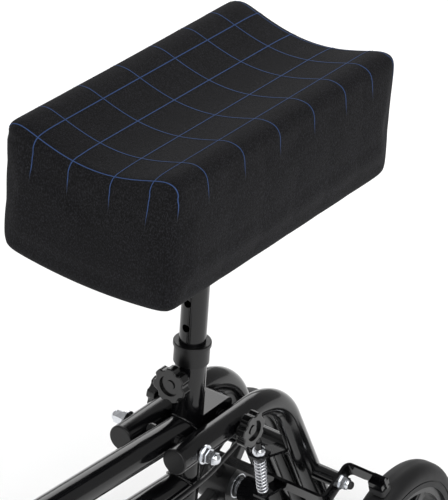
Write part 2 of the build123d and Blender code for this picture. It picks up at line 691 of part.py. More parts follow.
brake_bolt_depth = 4.0
brake_washer_r = 8.5
brake_nut_flats = 12.0
brake_bolt_start = Vector(side_tube_outer_face - brake_bolt_depth, brake_pivot.Y, brake_pivot.Z)
brake_washer_x = brake_arm_x + brake_strip / 2 + side_gap
brake_nut_height = 6.0
brake_bolt_end = brake_washer_x + washer_thickness + brake_nut_height
brake_bolt = rod(brake_bolt_start, (brake_bolt_end, brake_pivot.Y, brake_pivot.Z), screw_r)
at_brake_washer = facing(brake_washer_x, brake_pivot.Y, brake_pivot.Z, (1, 0, 0))
brake_washer = ring(brake_washer_r, screw_hole_r, washer_thickness)
brake_nut = Pos(0, 0, washer_thickness) * acorn_nut(screw_r, brake_nut_flats, brake_nut_height)
left_brake_hardware = [brake_bolt, at_brake_washer * brake_washer, at_brake_washer * brake_nut]
parts["brake_pivot_bolts"] = group(*left_brake_hardware, *[mirrored(piece) for piece in left_brake_hardware])

# Front fork -------------------------------------------------------------------------------------------
fork_tube_r = 17.0
fork_tube_wall = 3.0
race_r = 19.0
race_height = 6.0
fork_top_s = head_low_s - cup_height - side_gap
steerer_r = steerer_dia / 2
steerer_wall = 2.0
locknut_flats = 38.0
locknut_low = head_high_s + cup_height + side_gap
locknut_height = 10.0
base_low = locknut_low + locknut_height
base_thickness = 14.0
base_socket = 8.0
base_size = (38.0, 48.0)
base_round = 10.0
base_rim = 1.0
ear_thickness = 5.0
ear_height = 30.0
ear_root = 4.0
ear_round = 9.0
hinge_floor = base_low + base_thickness
hinge_above_floor = 14.0
hinge_s = hinge_floor + hinge_above_floor
hinge_v = -12.0
skewer_v = 12.0
skewer_r = 3.0
hinge_bolt_r = 4.0
tongue_half = 9.7
ear_inner = tongue_half + side_gap
ear_outer = ear_inner + ear_thickness

fork = Cylinder(fork_tube_r, fork_top_s - race_height, align=LOW)
fork -= Cylinder(fork_tube_r - fork_tube_wall, fork_top_s - race_height - fork_tube_wall, align=LOW)
fork += Pos(0, 0, fork_top_s - race_height) * Cylinder(race_r, race_height, align=LOW)
fork += Pos(0, 0, fork_top_s) * ring(steerer_r, steerer_r - steerer_wall, base_low + base_socket - fork_top_s)
fork -= Rot(0, 90, 0) * Cylinder(axle_housing_dia / 2, 100)
parts["fork_stem"] = column * fork
locknut = hexagon(locknut_flats, locknut_height) - Cylinder(steerer_r + running_clearance, 2 * past)
parts["headset_locknut"] = column * Pos(0, 0, locknut_low) * locknut


def across(x_low, x_high, v, s, radius):
    """A bar across the column, parallel to X, in the column's own axes."""
    return rod((x_low, v, s), (x_high, v, s), radius)


base = Pos(0, 0, base_low) * extrude(RectangleRounded(*base_size, base_round), base_thickness)
ear_profile = RectangleRounded(base_size[1] - 2 * base_rim, ear_height + ear_root, ear_round)
ear_profile = Pos(0, hinge_floor + (ear_height - ear_root) / 2) * ear_profile
ear = extrude(Plane(origin=(ear_inner, 0, 0), x_dir=(0, 1, 0), z_dir=(1, 0, 0)) * ear_profile, ear_thickness)
base += [ear, mirrored(ear)]
base -= Pos(0, 0, base_low - 1) * Cylinder(steerer_r + running_clearance, base_socket + 1, align=LOW)
base -= across(-2 * past, 2 * past, hinge_v, hinge_s, hinge_bolt_r + running_clearance)
base -= across(-2 * past, 2 * past, skewer_v, hinge_s, skewer_r + running_clearance)
parts["hinge_base"] = column * base


def across_nut(x, v, s, bolt_r, flats, height):
    """A domed nut on the left end of a bolt that lies across the column."""
    return Plane(origin=(x, v, s), z_dir=(1, 0, 0)) * acorn_nut(bolt_r, flats, height)


small_nut_height = 5.0
hinge_nut_flats = 13.0
skewer_nut_flats = 11.0
bolt_end = ear_outer + small_nut_height
hinge_bolt = across(-bolt_end, bolt_end, hinge_v, hinge_s, hinge_bolt_r)
hinge_nut = across_nut(ear_outer, hinge_v, hinge_s, hinge_bolt_r, hinge_nut_flats, small_nut_height)
fold_skewer = across(-ear_outer, bolt_end, skewer_v, hinge_s, skewer_r)
skewer_nut = across_nut(ear_outer, skewer_v, hinge_s, skewer_r, skewer_nut_flats, small_nut_height)
hinge_solids = [hinge_bolt, hinge_nut, mirrored(hinge_nut), fold_skewer, skewer_nut]
parts["hinge_bolts"] = group(*[column * piece for piece in hinge_solids])

# Quick-release levers -------------------------------------------------------------------------------
cam_r = 7.0
cam_width = 14.0
lever_reach = 56.0
lever_thickness = 5.0
lever_end_round = 5.5


def quick_lever():
    """A cam lever: the cam turns about the local Z axis and the arm points along local X."""
    cam = Cylinder(cam_r, cam_width)
    arm = Pos(lever_reach / 2, -cam_r * 0.3, 0) * Box(lever_reach, lever_thickness, cam_width - 2)
    arm = fillet(arm.edges().filter_by(Axis.Y).group_by(Axis.X)[-1], lever_end_round)
    return cam + arm


lever = mirror(quick_lever(), Plane.XZ)
fold_lever_x = -ear_outer - side_gap - cam_r
at_fold_cam = Plane(origin=(fold_lever_x, skewer_v, hinge_s), x_dir=(0, 1, 0), z_dir=(0, 0, 1))
parts["fold_lever"] = column * at_fold_cam * lever

# Handlebar column -----------------------------------------------------------------------------------
tongue_top_gap = 4.0
tongue_front_v = -19.0
tongue_rear_v = 16.0
tongue_hook_v = 22.0
tongue_top = hinge_floor + ear_height + tongue_top_gap
skewer_clearance = 0.4
tongue_flange = 6.0
spigot = 8.0
stem_r = stem_dia / 2
column_r = column_dia / 2
column_bore_r = stem_r + running_clearance
tongue_sweep_r = hinge_s - hinge_floor - 0.5
column_low = tongue_top + tongue_flange
column_high = column_low + column_length
skewer_reach = skewer_v - hinge_v



def tongue_block(v_low, v_high, s_low, s_high):
    """A block of the tongue between two places across and two places up the column."""
    block = Box(2 * tongue_half, v_high - v_low, s_high - s_low)
    return Pos(0, (v_low + v_high) / 2, (s_low + s_high) / 2) * block


tongue = across(-tongue_half, tongue_half, hinge_v, hinge_s, tongue_sweep_r)
tongue += tongue_block(hinge_v, tongue_hook_v, hinge_floor + side_gap, hinge_s)
tongue += tongue_block(tongue_front_v, tongue_rear_v, hinge_s, tongue_top)
notch = across(-past, past, hinge_v, hinge_s, skewer_reach + skewer_r + skewer_clearance)
notch -= across(-past, past, hinge_v, hinge_s, skewer_reach - skewer_r - skewer_clearance)
notch &= Pos(0, skewer_v, hinge_s - past) * Box(2 * past, past, 2 * past)
tongue -= notch + across(-past, past, skewer_v, hinge_s, skewer_r + skewer_clearance)
tongue += Pos(0, 0, tongue_top) * Cylinder(column_r, tongue_flange, align=LOW)
tongue += Pos(0, 0, column_low) * Cylinder(column_bore_r - running_clearance, spigot, align=LOW)
tongue -= across(-past, past, hinge_v, hinge_s, hinge_bolt_r + running_clearance)
parts["column_tongue"] = column * tongue
parts["column_tube"] = column * Pos(0, 0, column_low) * ring(column_r, column_bore_r, column_length)

clamp_height = 24.0
clamp_grip = 20.0
clamp_low = column_high - clamp_grip
clamp_r = 24.0
lug_v = 31.0
lug_half = 9.0
lug_slit = 2.0
clamp_s = clamp_low + clamp_height / 2
clamp = Cylinder(clamp_r, clamp_height, align=LOW)
lug_end_v = lug_v + 8.0
clamp_lug = Pos(0, lug_end_v / 2, 0) * Box(2 * lug_half, lug_end_v, clamp_height, align=LOW)
clamp += fillet(clamp_lug.edges().filter_by(Axis.X).group_by(Axis.Y)[-1], 5.0)
clamp = Pos(0, 0, clamp_low) * clamp
clamp -= Pos(0, 0, column_low) * Cylinder(column_r, column_length, align=LOW)
clamp -= Pos(0, 0, column_low) * Cylinder(column_bore_r, column_length + clamp_height, align=LOW)
clamp -= Pos(0, lug_v, clamp_s) * Box(lug_slit, 2 * (lug_v - column_bore_r) + 1, 2 * clamp_height)
clamp -= across(-past, past, lug_v, clamp_s, skewer_r + running_clearance)
clamp_skewer = across(-lug_half, lug_half + small_nut_height, lug_v, clamp_s, skewer_r)
clamp_nut = across_nut(lug_half, lug_v, clamp_s, skewer_r, skewer_nut_flats, small_nut_height)
parts["column_clamp"] = group(column * clamp, column * clamp_skewer, column * clamp_nut)
clamp_lever_x = -lug_half - side_gap - cam_r
at_clamp_cam = Plane(origin=(clamp_lever_x, lug_v, clamp_s), x_dir=(0, 0, -1), z_dir=(0, 1, 0))
parts["clamp_lever"] = column * at_clamp_cam * lever

# Stem and handlebar ---------------------------------------------------------------------------------
bar_r = handlebar_dia / 2
bar_s = (handlebar_height - axle_z) / math.cos(tilt)
bar_centre = column.from_local_coords((0, 0, bar_s))
stem_low = column_high - stem_overlap
clamp_body_r = 18.0
clamp_body_half = 22.0
neck_r = 19.5
neck_low = bar_s - 46.0
neck_top = bar_s - 12.5
stem_high = bar_s - 20.0
bar_bolt_r = 2.5
bar_bolt_head_r = 4.2
bar_bolt_seat_r = 4.4
bar_bolt_seat_v = -9.0
bar_bolt_head_v = -12.5
bar_bolt_end_v = 7.5
split_rear_v = -4.0
split_front_v = -5.0
face_top = 18.0
bar_bolt_places = [(x, s) for x in (-15.0, 15.0) for s in (-14.2, 14.2)]

parts["stem_tube"] = column * Pos(0, 0, stem_low) * ring(stem_r, stem_r - stem_wall, stem_high - stem_low)
bar_space = across(-2 * past, 2 * past, 0, bar_s, bar_r + running_clearance)
stem_space = Pos(0, 0, stem_low) * Cylinder(stem_r + running_clearance, stem_high - stem_low, align=LOW)
clamp_barrel = across(-clamp_body_half, clamp_body_half, 0, bar_s, clamp_body_r)
neck = Pos(0, 0, neck_low) * Cylinder(neck_r, neck_top - neck_low, align=LOW)
half_block = 30.0
block = Box(2 * half_block, 2 * half_block, 2 * half_block)
rear_half = clamp_barrel & Pos(0, half_block + split_rear_v, bar_s) * block
face_half = clamp_barrel & Pos(0, split_front_v - half_block, bar_s + face_top) * block
bar_bolts = []
for x, s in bar_bolt_places:
    deep, end = (x, -past, bar_s + s), (x, bar_bolt_end_v, bar_s + s)
    head_face, head_seat = (x, bar_bolt_head_v, bar_s + s), (x, bar_bolt_seat_v, bar_s + s)
    way = rod(deep, (x, bar_bolt_end_v + 0.5, bar_s + s), bar_bolt_r + running_clearance)
    rear_half -= way
    face_half -= [way, rod(deep, head_seat, bar_bolt_seat_r)]
    bar_bolts.append(rod(head_seat, end, bar_bolt_r) + rod(head_face, head_seat, bar_bolt_head_r))
clamp_main = neck + rear_half - bar_space - stem_space
clamp_face = face_half - bar_space
parts["bar_clamp"] = group(*[column * piece for piece in (clamp_main, clamp_face, *bar_bolts)])

bar_bend_x = 82.0
bar_straight_x = 50.0
bar_back = 28.0
bar_up = 10.0
bar_bend_r = 30.0
bar_y = bar_centre.Y + bar_back
bar_z = bar_centre.Z + bar_up
grip_end = handlebar_width / 2
grip_wall_end = 2.0
bar_points = [
    (-grip_end + grip_wall_end, bar_y, bar_z),
    (-bar_bend_x, bar_y, bar_z),
    (-bar_straight_x, bar_centre.Y, bar_centre.Z),
    (bar_straight_x, bar_centre.Y, bar_centre.Z),
    (bar_bend_x, bar_y, bar_z),
    (grip_end - grip_wall_end, bar_y, bar_z),
]
bar_path = FilletPolyline(*bar_points, radius=bar_bend_r)
bar_start = Plane(origin=bar_points[0], z_dir=(1, 0, 0))
bar_outside = sweep(bar_start * Circle(bar_r), path=bar_path)
bar_inside = sweep(bar_start * Circle(bar_r - stem_wall), path=bar_path)
parts["handlebar"] = bar_outside - bar_inside

grip_r = grip_dia / 2
grip_start = grip_end - grip_length
grip_rib_pitch = 7.0
grip_rib_depth = 0.8
grip_groove_width = 2.0
grip_smooth_end = 10.0
grip_flange = 2.5
grip_flange_width = 4.0
grip_end_round = 4.0
grip = Cylinder(grip_r, grip_length, align=LOW)
grip = fillet(grip.edges().group_by(Axis.Z)[-1], grip_end_round)
grip += Cylinder(grip_r + grip_flange, grip_flange_width, align=LOW)
groove = ring(grip_r + 1, grip_r - grip_rib_depth, grip_groove_width)
for index in range(int((grip_length - 2 * grip_smooth_end) // grip_rib_pitch)):
    grip -= Pos(0, 0, grip_smooth_end + index * grip_rib_pitch) * groove
grip -= Cylinder(bar_r + running_clearance, grip_length - grip_wall_end, align=LOW)
left_grip = facing(grip_start, bar_y, bar_z, (1, 0, 0)) * grip
parts["grips"] = group(left_grip, mirrored(left_grip))

# Brake lever ----------------------------------------------------------------------------------------
perch_x = 98.5
perch_width = 7.0
perch_r = 15.0
lever_pivot_ahead = 30.0
lever_pivot_y = bar_y - lever_pivot_ahead
lever_half = 4.0
lever_pin_r = 2.5
blade_thickness = 6.0
blade_ahead = 47.0
blade_end_x = 196.0
blade_eye_r = 7.0
blade_tip_r = 6.0
ferrule_r = 4.0
ferrule_length = 14.0
housing_r = 2.5
perch_height = 17.0
fork_width = 14.0
fork_end = lever_pivot_ahead + 8.0
fork_slot_start = 18.0
pin_half = 10.0
perch = Rot(0, 90, 0) * Cylinder(perch_r, perch_width)
perch += Pos(0, -fork_end / 2, 0) * Box(perch_width, fork_end, perch_height)
perch += Pos(0, -(fork_end + perch_r) / 2, 0) * Box(fork_width, fork_end - perch_r, perch_height)
lever_slot = Box(2 * past, fork_end, 2 * (lever_half + side_gap))
perch -= Pos(0, -fork_end / 2 - fork_slot_start, 0) * lever_slot
perch -= Rot(0, 90, 0) * Cylinder(bar_r + running_clearance, 2 * past)
perch -= Pos(0, -lever_pivot_ahead, 0) * Cylinder(lever_pin_r + running_clearance, 2 * past)
perch = Pos(perch_x, bar_y, bar_z) * perch
ferrule_y = bar_y - 32.0
ferrule_start = perch_x - fork_width / 2
ferrule_end = ferrule_start - ferrule_length
ferrule = rod((ferrule_start, ferrule_y, bar_z), (ferrule_end, ferrule_y, bar_z), ferrule_r)
pin = rod((perch_x, lever_pivot_y, bar_z - pin_half), (perch_x, lever_pivot_y, bar_z + pin_half), lever_pin_r)
parts["lever_perch"] = group(perch, ferrule, pin)

blade_points = [
    (perch_x, lever_pivot_y, bar_z),
    (perch_x + 16, bar_y - blade_ahead, bar_z),
    (blade_end_x, bar_y - blade_ahead + 2, bar_z),
]
blade_path = FilletPolyline(*blade_points, radius=14)
blade_start = Plane(origin=blade_path @ 0, x_dir=(0, 0, 1), z_dir=blade_path % 0)
blade = sweep(blade_start * Rectangle(2 * lever_half, blade_thickness), path=blade_path)
blade += Pos(perch_x, lever_pivot_y, bar_z) * Cylinder(blade_eye_r, 2 * lever_half)
blade += Pos(*blade_points[-1]) * Cylinder(blade_tip_r, 2 * lever_half)
blade -= Pos(perch_x, lever_pivot_y, bar_z) * Cylinder(lever_pin_r + running_clearance, 2 * past)
parts["brake_lever"] = blade

# Brake cable ----------------------------------------------------------------------------------------
cable_side_x = 19.5
cable_join_s = 520.0
clip_width = 8.0
clip_wall = 1.6
clip_play = 0.1


def on_column(x, v, s):
    """A point given in the column's own axes."""
    return column.from_local_coords((x, v, s))


def beside_beam(y):
    """A point of the cable's run along the left side of the lower beam."""
    return Vector(cable_side_x, y, fork_pivot_z - beam_gap + (fork_pivot_y - y) * rise_slope)


def cable(points, radii):
    """A housing along straight runs and tangent arcs."""
    path = FilletPolyline(*points, radius=radii)
    return sweep(Plane(origin=path @ 0, z_dir=path % 0) * Circle(housing_r), path=path)


upper_points = [
    Vector(ferrule_end, ferrule_y, bar_z),
    Vector(ferrule_end - 6.5, ferrule_y, bar_z),
    Vector(44, ferrule_y - 20, bar_z - 3),
    on_column(26, -34, bar_s - 60),
    on_column(20, -27, bar_s - 140),
    on_column(20, -27, cable_join_s),
]
parts["brake_cable_upper"] = cable(upper_points, [12, 26, 60, 300])
barrel_top = spring_top - spring_dir * (stop_thickness + barrel_length)
lower_points = [
    on_column(20, -27, cable_join_s),
    on_column(20, -27, 340),
    on_column(25, -20, 265),
    beside_beam(head_y + 45),
    beside_beam(seat_post_y - 10),
    Vector(cable_x + 1, fork_pivot_y + 105, fork_pivot_z - 46),
    barrel_top - spring_dir * 24,
    barrel_top,
]
parts["brake_cable_lower"] = cable(lower_points, [200, 60, 40, 120, 40, 9])


def beam_clip(y):
    """A plastic strap round the lower beam that holds the cable beside it."""
    at_cable = beside_beam(y)
    at_beam = Vector(0, at_cable.Y, at_cable.Z)
    half, reach = beam_dir * (clip_width / 2), beam_dir * past
    clip = rod(at_beam - half, at_beam + half, beam_r + clip_wall)
    clip += rod(at_cable - half, at_cable + half, housing_r + clip_wall)
    clip -= rod(at_beam - reach, at_beam + reach, beam_r)
    return clip - rod(at_cable - reach, at_cable + reach, housing_r + clip_play)


parts["cable_clips"] = group(*[beam_clip(y) for y in (head_y + 95, seat_post_y - 90)])

for name, shape in parts.items():
    export_step(shape, f"parts/{name}.step")
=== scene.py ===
import json
import math

import bmesh
import bpy
from mathutils import Matrix, Vector
from mathutils.bvhtree import BVHTree


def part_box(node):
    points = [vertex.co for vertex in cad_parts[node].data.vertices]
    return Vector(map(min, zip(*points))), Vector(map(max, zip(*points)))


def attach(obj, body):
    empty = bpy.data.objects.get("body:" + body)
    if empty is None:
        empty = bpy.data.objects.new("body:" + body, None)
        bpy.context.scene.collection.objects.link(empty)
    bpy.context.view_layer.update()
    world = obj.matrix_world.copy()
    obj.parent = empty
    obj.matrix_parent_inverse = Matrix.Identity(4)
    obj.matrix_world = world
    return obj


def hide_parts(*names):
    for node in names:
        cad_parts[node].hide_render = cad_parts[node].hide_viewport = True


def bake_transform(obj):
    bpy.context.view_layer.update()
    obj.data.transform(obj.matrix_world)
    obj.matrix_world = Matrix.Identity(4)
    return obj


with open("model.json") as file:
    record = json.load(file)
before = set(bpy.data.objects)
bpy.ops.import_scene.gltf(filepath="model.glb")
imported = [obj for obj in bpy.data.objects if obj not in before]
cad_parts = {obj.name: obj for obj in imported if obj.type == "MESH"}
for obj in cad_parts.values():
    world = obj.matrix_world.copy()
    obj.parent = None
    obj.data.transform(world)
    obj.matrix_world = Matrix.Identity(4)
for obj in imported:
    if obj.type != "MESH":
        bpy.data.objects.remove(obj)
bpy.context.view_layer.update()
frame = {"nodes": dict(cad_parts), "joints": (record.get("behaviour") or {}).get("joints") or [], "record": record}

scene = bpy.context.scene

# The view. The scooter is seen from its front left, from above, and the lens looks at the knee pad and the
# rear fork. The fork's pivot bolt is the point that the camera stands round.
bolt_low, bolt_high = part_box("fork_pivot_bolt")
pivot = (bolt_low + bolt_high) / 2
azimuth, elevation, lean = math.radians(34.1), math.radians(32.8), math.radians(-3.6)
camera_distance = 3.0
camera_lens = 233.2
view_reach = 50.0
aim_right, aim_up = 0.0538, 0.1735
back = Vector((
    math.sin(azimuth) * math.cos(elevation),
    -math.cos(azimuth) * math.cos(elevation),
    math.sin(elevation),
))
level = Vector((math.cos(azimuth), math.sin(azimuth), 0))
upward = back.cross(level)
view_right = math.cos(lean) * level - math.sin(lean) * upward
view_up = math.sin(lean) * level + math.cos(lean) * upward
camera_place = pivot + back * camera_distance
aim = pivot + view_right * aim_right + view_up * aim_up
backward = (camera_place - aim).normalized()
rightward = view_up.cross(backward).normalized()
camera_data = bpy.data.cameras.new("camera")
camera_data.lens = camera_lens
camera_data.clip_end = view_reach
camera = bpy.data.objects.new("camera", camera_data)
scene.collection.objects.link(camera)
turn = Matrix((rightward, backward.cross(rightward), backward)).transposed()
camera.matrix_world = Matrix.Translation(camera_place) @ turn.to_4x4()
scene.camera = camera
scene.view_settings.view_transform = "Standard"


# The floor and the studio. A plain floor in matt white paint runs out of sight. One broad light stands high
# over the scooter, and two soft boxes light it from the front left and from the rear right.
floor_half = 30.0
floor_drop = 0.0005
sky_strength = 0.38
aim_height = 0.4


def linear(hex_colour):
    """An sRGB hex colour as the linear numbers that a shader takes."""
    channels = [int(hex_colour[i:i + 2], 16) / 255 for i in (1, 3, 5)]
    return [c / 12.92 if c <= 0.04045 else ((c + 0.055) / 1.055) ** 2.4 for c in channels] + [1.0]


def add_node(material, kind, inputs=None, **settings):
    """Adds a node with its settings. Each input is given a value, or a link from another node's output."""
    made = material.node_tree.nodes.new(kind)
    for name, value in settings.items():
        setattr(made, name, value)
    for name, value in (inputs or {}).items():
        if isinstance(value, bpy.types.NodeSocket):
            material.node_tree.links.new(value, made.inputs[name])
        else:
            made.inputs[name].default_value = value
    return made


def new_material(name, **sockets):
    """A material with one shader, its even values set on the sockets, and the object's own coordinates."""
    material = bpy.data.materials.new(name)
    material.use_nodes = True
    material.node_tree.nodes.clear()
    shader = add_node(material, "ShaderNodeBsdfPrincipled")
    for socket, value in sockets.items():
        shader.inputs[socket.replace("_", " ")].default_value = value
    add_node(material, "ShaderNodeOutputMaterial", {"Surface": shader.outputs["BSDF"]})
    place = add_node(material, "ShaderNodeTexCoord").outputs["Object"]
    return material, shader, place


def feed(material, shader, **sockets):
    """Links outputs to the shader's sockets."""
    for socket, output in sockets.items():
        material.node_tree.links.new(output, shader.inputs[socket.replace("_", " ")])


floor_mesh = bpy.data.meshes.new("floor")
floor_corners = ((-1, -1), (1, -1), (1, 1), (-1, 1))
floor_mesh.from_pydata(
    [(x * floor_half, y * floor_half, -floor_drop) for x, y in floor_corners], [], [(0, 1, 2, 3)]
)
floor = bpy.data.objects.new("floor", floor_mesh)
scene.collection.objects.link(floor)
floor_paint, shader, place = new_material("matt_white_floor_paint", Roughness=0.9)
mottle = add_node(floor_paint, "ShaderNodeTexNoise", {"Vector": place, "Scale": 2.0})
shade = add_node(
    floor_paint,
    "ShaderNodeMix",
    {0: mottle.outputs["Fac"], 6: linear("#fbfbfb"), 7: linear("#ffffff")},
    data_type="RGBA",
)
feed(floor_paint, shader, Base_Color=shade.outputs[2])
floor_mesh.materials.append(floor_paint)

world = bpy.data.worlds.new("studio")
scene.world = world
world.use_nodes = True
world.node_tree.nodes["Background"].inputs["Color"].default_value = (1.0, 1.0, 1.0, 1.0)
world.node_tree.nodes["Background"].inputs["Strength"].default_value = sky_strength


def add_light(name, kind, place_at, strength, **settings):
    """A soft light that looks at the middle of the scooter."""
    light_data = bpy.data.lights.new(name, kind)
    light_data.energy = strength
    for setting, value in settings.items():
        setattr(light_data, setting, value)
    light = bpy.data.objects.new(name, light_data)
    scene.collection.objects.link(light)
    light.location = place_at
    toward = Vector(place_at) - Vector((0, 0, aim_height))
    light.rotation_mode = "QUATERNION"
    light.rotation_quaternion = toward.to_track_quat("Z", "Y")


add_light("overhead_sky", "SUN", (0.55, -1.3, 3.0), 2.35, angle=math.radians(60))
add_light("left_box", "AREA", (2.4, -1.6, 1.5), 14.0, size=1.4)
add_light("rear_box", "AREA", (-1.6, 2.2, 1.6), 14.0, size=1.4)

# The frame, forks, post, column and handlebar. Welded steel tube in baked black enamel: a deep gloss with a
# faint orange peel, a touch duller where hands and shoes have brushed it.


def put_on(material, slot):
    """Gives a material to every CAD piece of this slot."""
    for part in frame["record"]["subparts"]:
        if part["material_slot"] == slot:
            piece = frame["nodes"][part["node"]]
            piece.data.materials.clear()
            piece.data.materials.append(material)


enamel, shader, place = new_material("baked_black_enamel", IOR=1.5, Specular_IOR_Level=0.42)
peel_size = 0.003
hand_size = 0.05
peel = add_node(enamel, "ShaderNodeTexNoise", {"Vector": place, "Scale": 1 / peel_size, "Detail": 2.0})
hands = add_node(enamel, "ShaderNodeTexNoise", {"Vector": place, "Scale": 1 / hand_size, "Detail": 4.0})
dullness = add_node(
    enamel, "ShaderNodeMapRange", {"Value": hands.outputs["Fac"], "To Min": 0.08, "To Max": 0.2}
)
shade = add_node(
    enamel,
    "ShaderNodeMix",
    {0: hands.outputs["Fac"], 6: linear("#050506"), 7: linear("#0d0d0f")},
    data_type="RGBA",
)
bump = add_node(
    enamel, "ShaderNodeBump", {"Height": peel.outputs["Fac"], "Strength": 0.05, "Distance": 0.0004}
)
feed(
    enamel,
    shader,
    Base_Color=shade.outputs[2],
    Roughness=dullness.outputs["Result"],
    Normal=bump.outputs["Normal"],
)
put_on(enamel, "gloss_black_paint")

# Bolts, nuts, washers and axles. Steel with a bright zinc plate: pale, faintly clouded, with fine scratches
# from the spanner.
zinc, shader, place = new_material("bright_zinc_plate", Metallic=1.0)
cloud_size = 0.004
scratch_size = 0.0006
cloud = add_node(zinc, "ShaderNodeTexNoise", {"Vector": place, "Scale": 1 / cloud_size, "Detail": 3.0})
scratch = add_node(zinc, "ShaderNodeTexNoise", {"Vector": place, "Scale": 1 / scratch_size, "Detail": 2.0})
dullness = add_node(
    zinc, "ShaderNodeMapRange", {"Value": cloud.outputs["Fac"], "To Min": 0.14, "To Max": 0.32}
)
shade = add_node(
    zinc,
    "ShaderNodeMix",
    {0: cloud.outputs["Fac"], 6: linear("#c3c6cb"), 7: linear("#eceef2")},
    data_type="RGBA",
)
bump = add_node(
    zinc, "ShaderNodeBump", {"Height": scratch.outputs["Fac"], "Strength": 0.1, "Distance": 0.0001}
)
feed(
    zinc,
    shader,
    Base_Color=shade.outputs[2],
    Roughness=dullness.outputs["Result"],
    Normal=bump.outputs["Normal"],
)
put_on(zinc, "zinc_steel")

# The post's collar, the side tubes' caps and bushes, and the cable clips. Moulded black ABS: a satin skin with
# a fine spark grain and a slightly greyer bloom in patches.
plastic, shader, place = new_material("satin_moulded_abs", IOR=1.53, Specular_IOR_Level=0.35)
grain_size = 0.0005
bloom_size = 0.008
grain = add_node(plastic, "ShaderNodeTexNoise", {"Vector": place, "Scale": 1 / grain_size, "Detail": 2.0})
bloom = add_node(plastic, "ShaderNodeTexNoise", {"Vector": place, "Scale": 1 / bloom_size, "Detail": 4.0})
dullness = add_node(
    plastic, "ShaderNodeMapRange", {"Value": bloom.outputs["Fac"], "To Min": 0.26, "To Max": 0.44}
)
shade = add_node(
    plastic,
    "ShaderNodeMix",
    {0: bloom.outputs["Fac"], 6: linear("#070708"), 7: linear("#131314")},
    data_type="RGBA",
)
bump = add_node(
    plastic, "ShaderNodeBump", {"Height": grain.outputs["Fac"], "Strength": 0.18, "Distance": 0.0002}
)
feed(
    plastic,
    shader,
    Base_Color=shade.outputs[2],
    Roughness=dullness.outputs["Result"],
    Normal=bump.outputs["Normal"],
)
put_on(plastic, "black_plastic")

# The three star knobs, one for the post's height and two for the fold. Thermoset moulded in a polished tool,
# so they shine, with faint flow marks.
phenolic, shader, place = new_material("polished_thermoset", IOR=1.55)
swirl_size = 0.01
swirl = add_node(phenolic, "ShaderNodeTexNoise", {"Vector": place, "Scale": 1 / swirl_size, "Detail": 3.0})
dullness = add_node(
    phenolic, "ShaderNodeMapRange", {"Value": swirl.outputs["Fac"], "To Min": 0.12, "To Max": 0.26}
)
shade = add_node(
    phenolic,
    "ShaderNodeMix",
    {0: swirl.outputs["Fac"], 6: linear("#030303"), 7: linear("#0a0a0b")},
    data_type="RGBA",
)
bump = add_node(
    phenolic, "ShaderNodeBump", {"Height": swirl.outputs["Fac"], "Strength": 0.1, "Distance": 0.0003}
)
feed(
    phenolic,
    shader,
    Base_Color=shade.outputs[2],
    Roughness=dullness.outputs["Result"],
    Normal=bump.outputs["Normal"],
)
for knob in ("height_knob", "left_fold_knob", "right_fold_knob"):
    frame["nodes"][knob].data.materials[0] = phenolic

# The four tyres. Solid polyurethane, cast smooth: dark grey, with a soft shine on the tread and a dusty,
# slightly paler skin.
rubber, shader, place = new_material("cast_polyurethane_tyre", IOR=1.5, Specular_IOR_Level=0.35)
dust_size = 0.012
skin_size = 0.0009
dust = add_node(rubber, "ShaderNodeTexNoise", {"Vector": place, "Scale": 1 / dust_size, "Detail": 5.0})
skin = add_node(rubber, "ShaderNodeTexNoise", {"Vector": place, "Scale": 1 / skin_size, "Detail": 2.0})
dullness = add_node(
    rubber, "ShaderNodeMapRange", {"Value": dust.outputs["Fac"], "To Min": 0.46, "To Max": 0.62}
)
shade = add_node(
    rubber,
    "ShaderNodeMix",
    {0: dust.outputs["Fac"], 6: linear("#0a0a0b"), 7: linear("#151517")},
    data_type="RGBA",
)
bump = add_node(
    rubber, "ShaderNodeBump", {"Height": skin.outputs["Fac"], "Strength": 0.12, "Distance": 0.0002}
)
feed(
    rubber,
    shader,
    Base_Color=shade.outputs[2],
    Roughness=dullness.outputs["Result"],
    Normal=bump.outputs["Normal"],
)
put_on(rubber, "tyre_rubber")

# The wheel centres. Glass-filled nylon, moulded black: a semi-gloss with a fine flow grain.
nylon, shader, place = new_material("glass_filled_nylon", IOR=1.53)
flow_size = 0.006
flow = add_node(nylon, "ShaderNodeTexNoise", {"Vector": place, "Scale": 1 / flow_size, "Detail": 5.0})
fibre = add_node(nylon, "ShaderNodeTexNoise", {"Vector": place, "Scale": 1 / grain_size, "Detail": 2.0})
dullness = add_node(
    nylon, "ShaderNodeMapRange", {"Value": flow.outputs["Fac"], "To Min": 0.22, "To Max": 0.4}
)
shade = add_node(
    nylon,
    "ShaderNodeMix",
    {0: flow.outputs["Fac"], 6: linear("#060607"), 7: linear("#111113")},
    data_type="RGBA",
)
bump = add_node(
    nylon, "ShaderNodeBump", {"Height": fibre.outputs["Fac"], "Strength": 0.12, "Distance": 0.0002}
)
feed(
    nylon,
    shader,
    Base_Color=shade.outputs[2],
    Roughness=dullness.outputs["Result"],
    Normal=bump.outputs["Normal"],
)
put_on(nylon, "wheel_nylon")


# A sealed ball bearing shows in each end of each hub: a ground outer ring and, inside it, a black nitrile
# rubber seal with a raised lip. The grips and the brake shoes are moulded in the same rubber.


def turned(profile, centre, side, steps=48):
    """A mesh turned about an axis parallel to X. The profile gives places along the axis and radii."""
    form = bmesh.new()
    rings = []
    for along, radius in profile:
        ring = []
        for step in range(steps):
            angle = 2 * math.pi * step / steps
            offset = Vector((side * along, radius * math.cos(angle), radius * math.sin(angle)))
            ring.append(form.verts.new(centre + offset))
        rings.append(ring)
    for inner, outer in zip(rings, rings[1:]):
        for step in range(steps):
            following = (step + 1) % steps
            form.faces.new((inner[step], inner[following], outer[following], outer[step]))
    bmesh.ops.recalc_face_normals(form, faces=form.faces)
    mesh = bpy.data.meshes.new("turned")
    form.to_mesh(mesh)
    form.free()
    return mesh


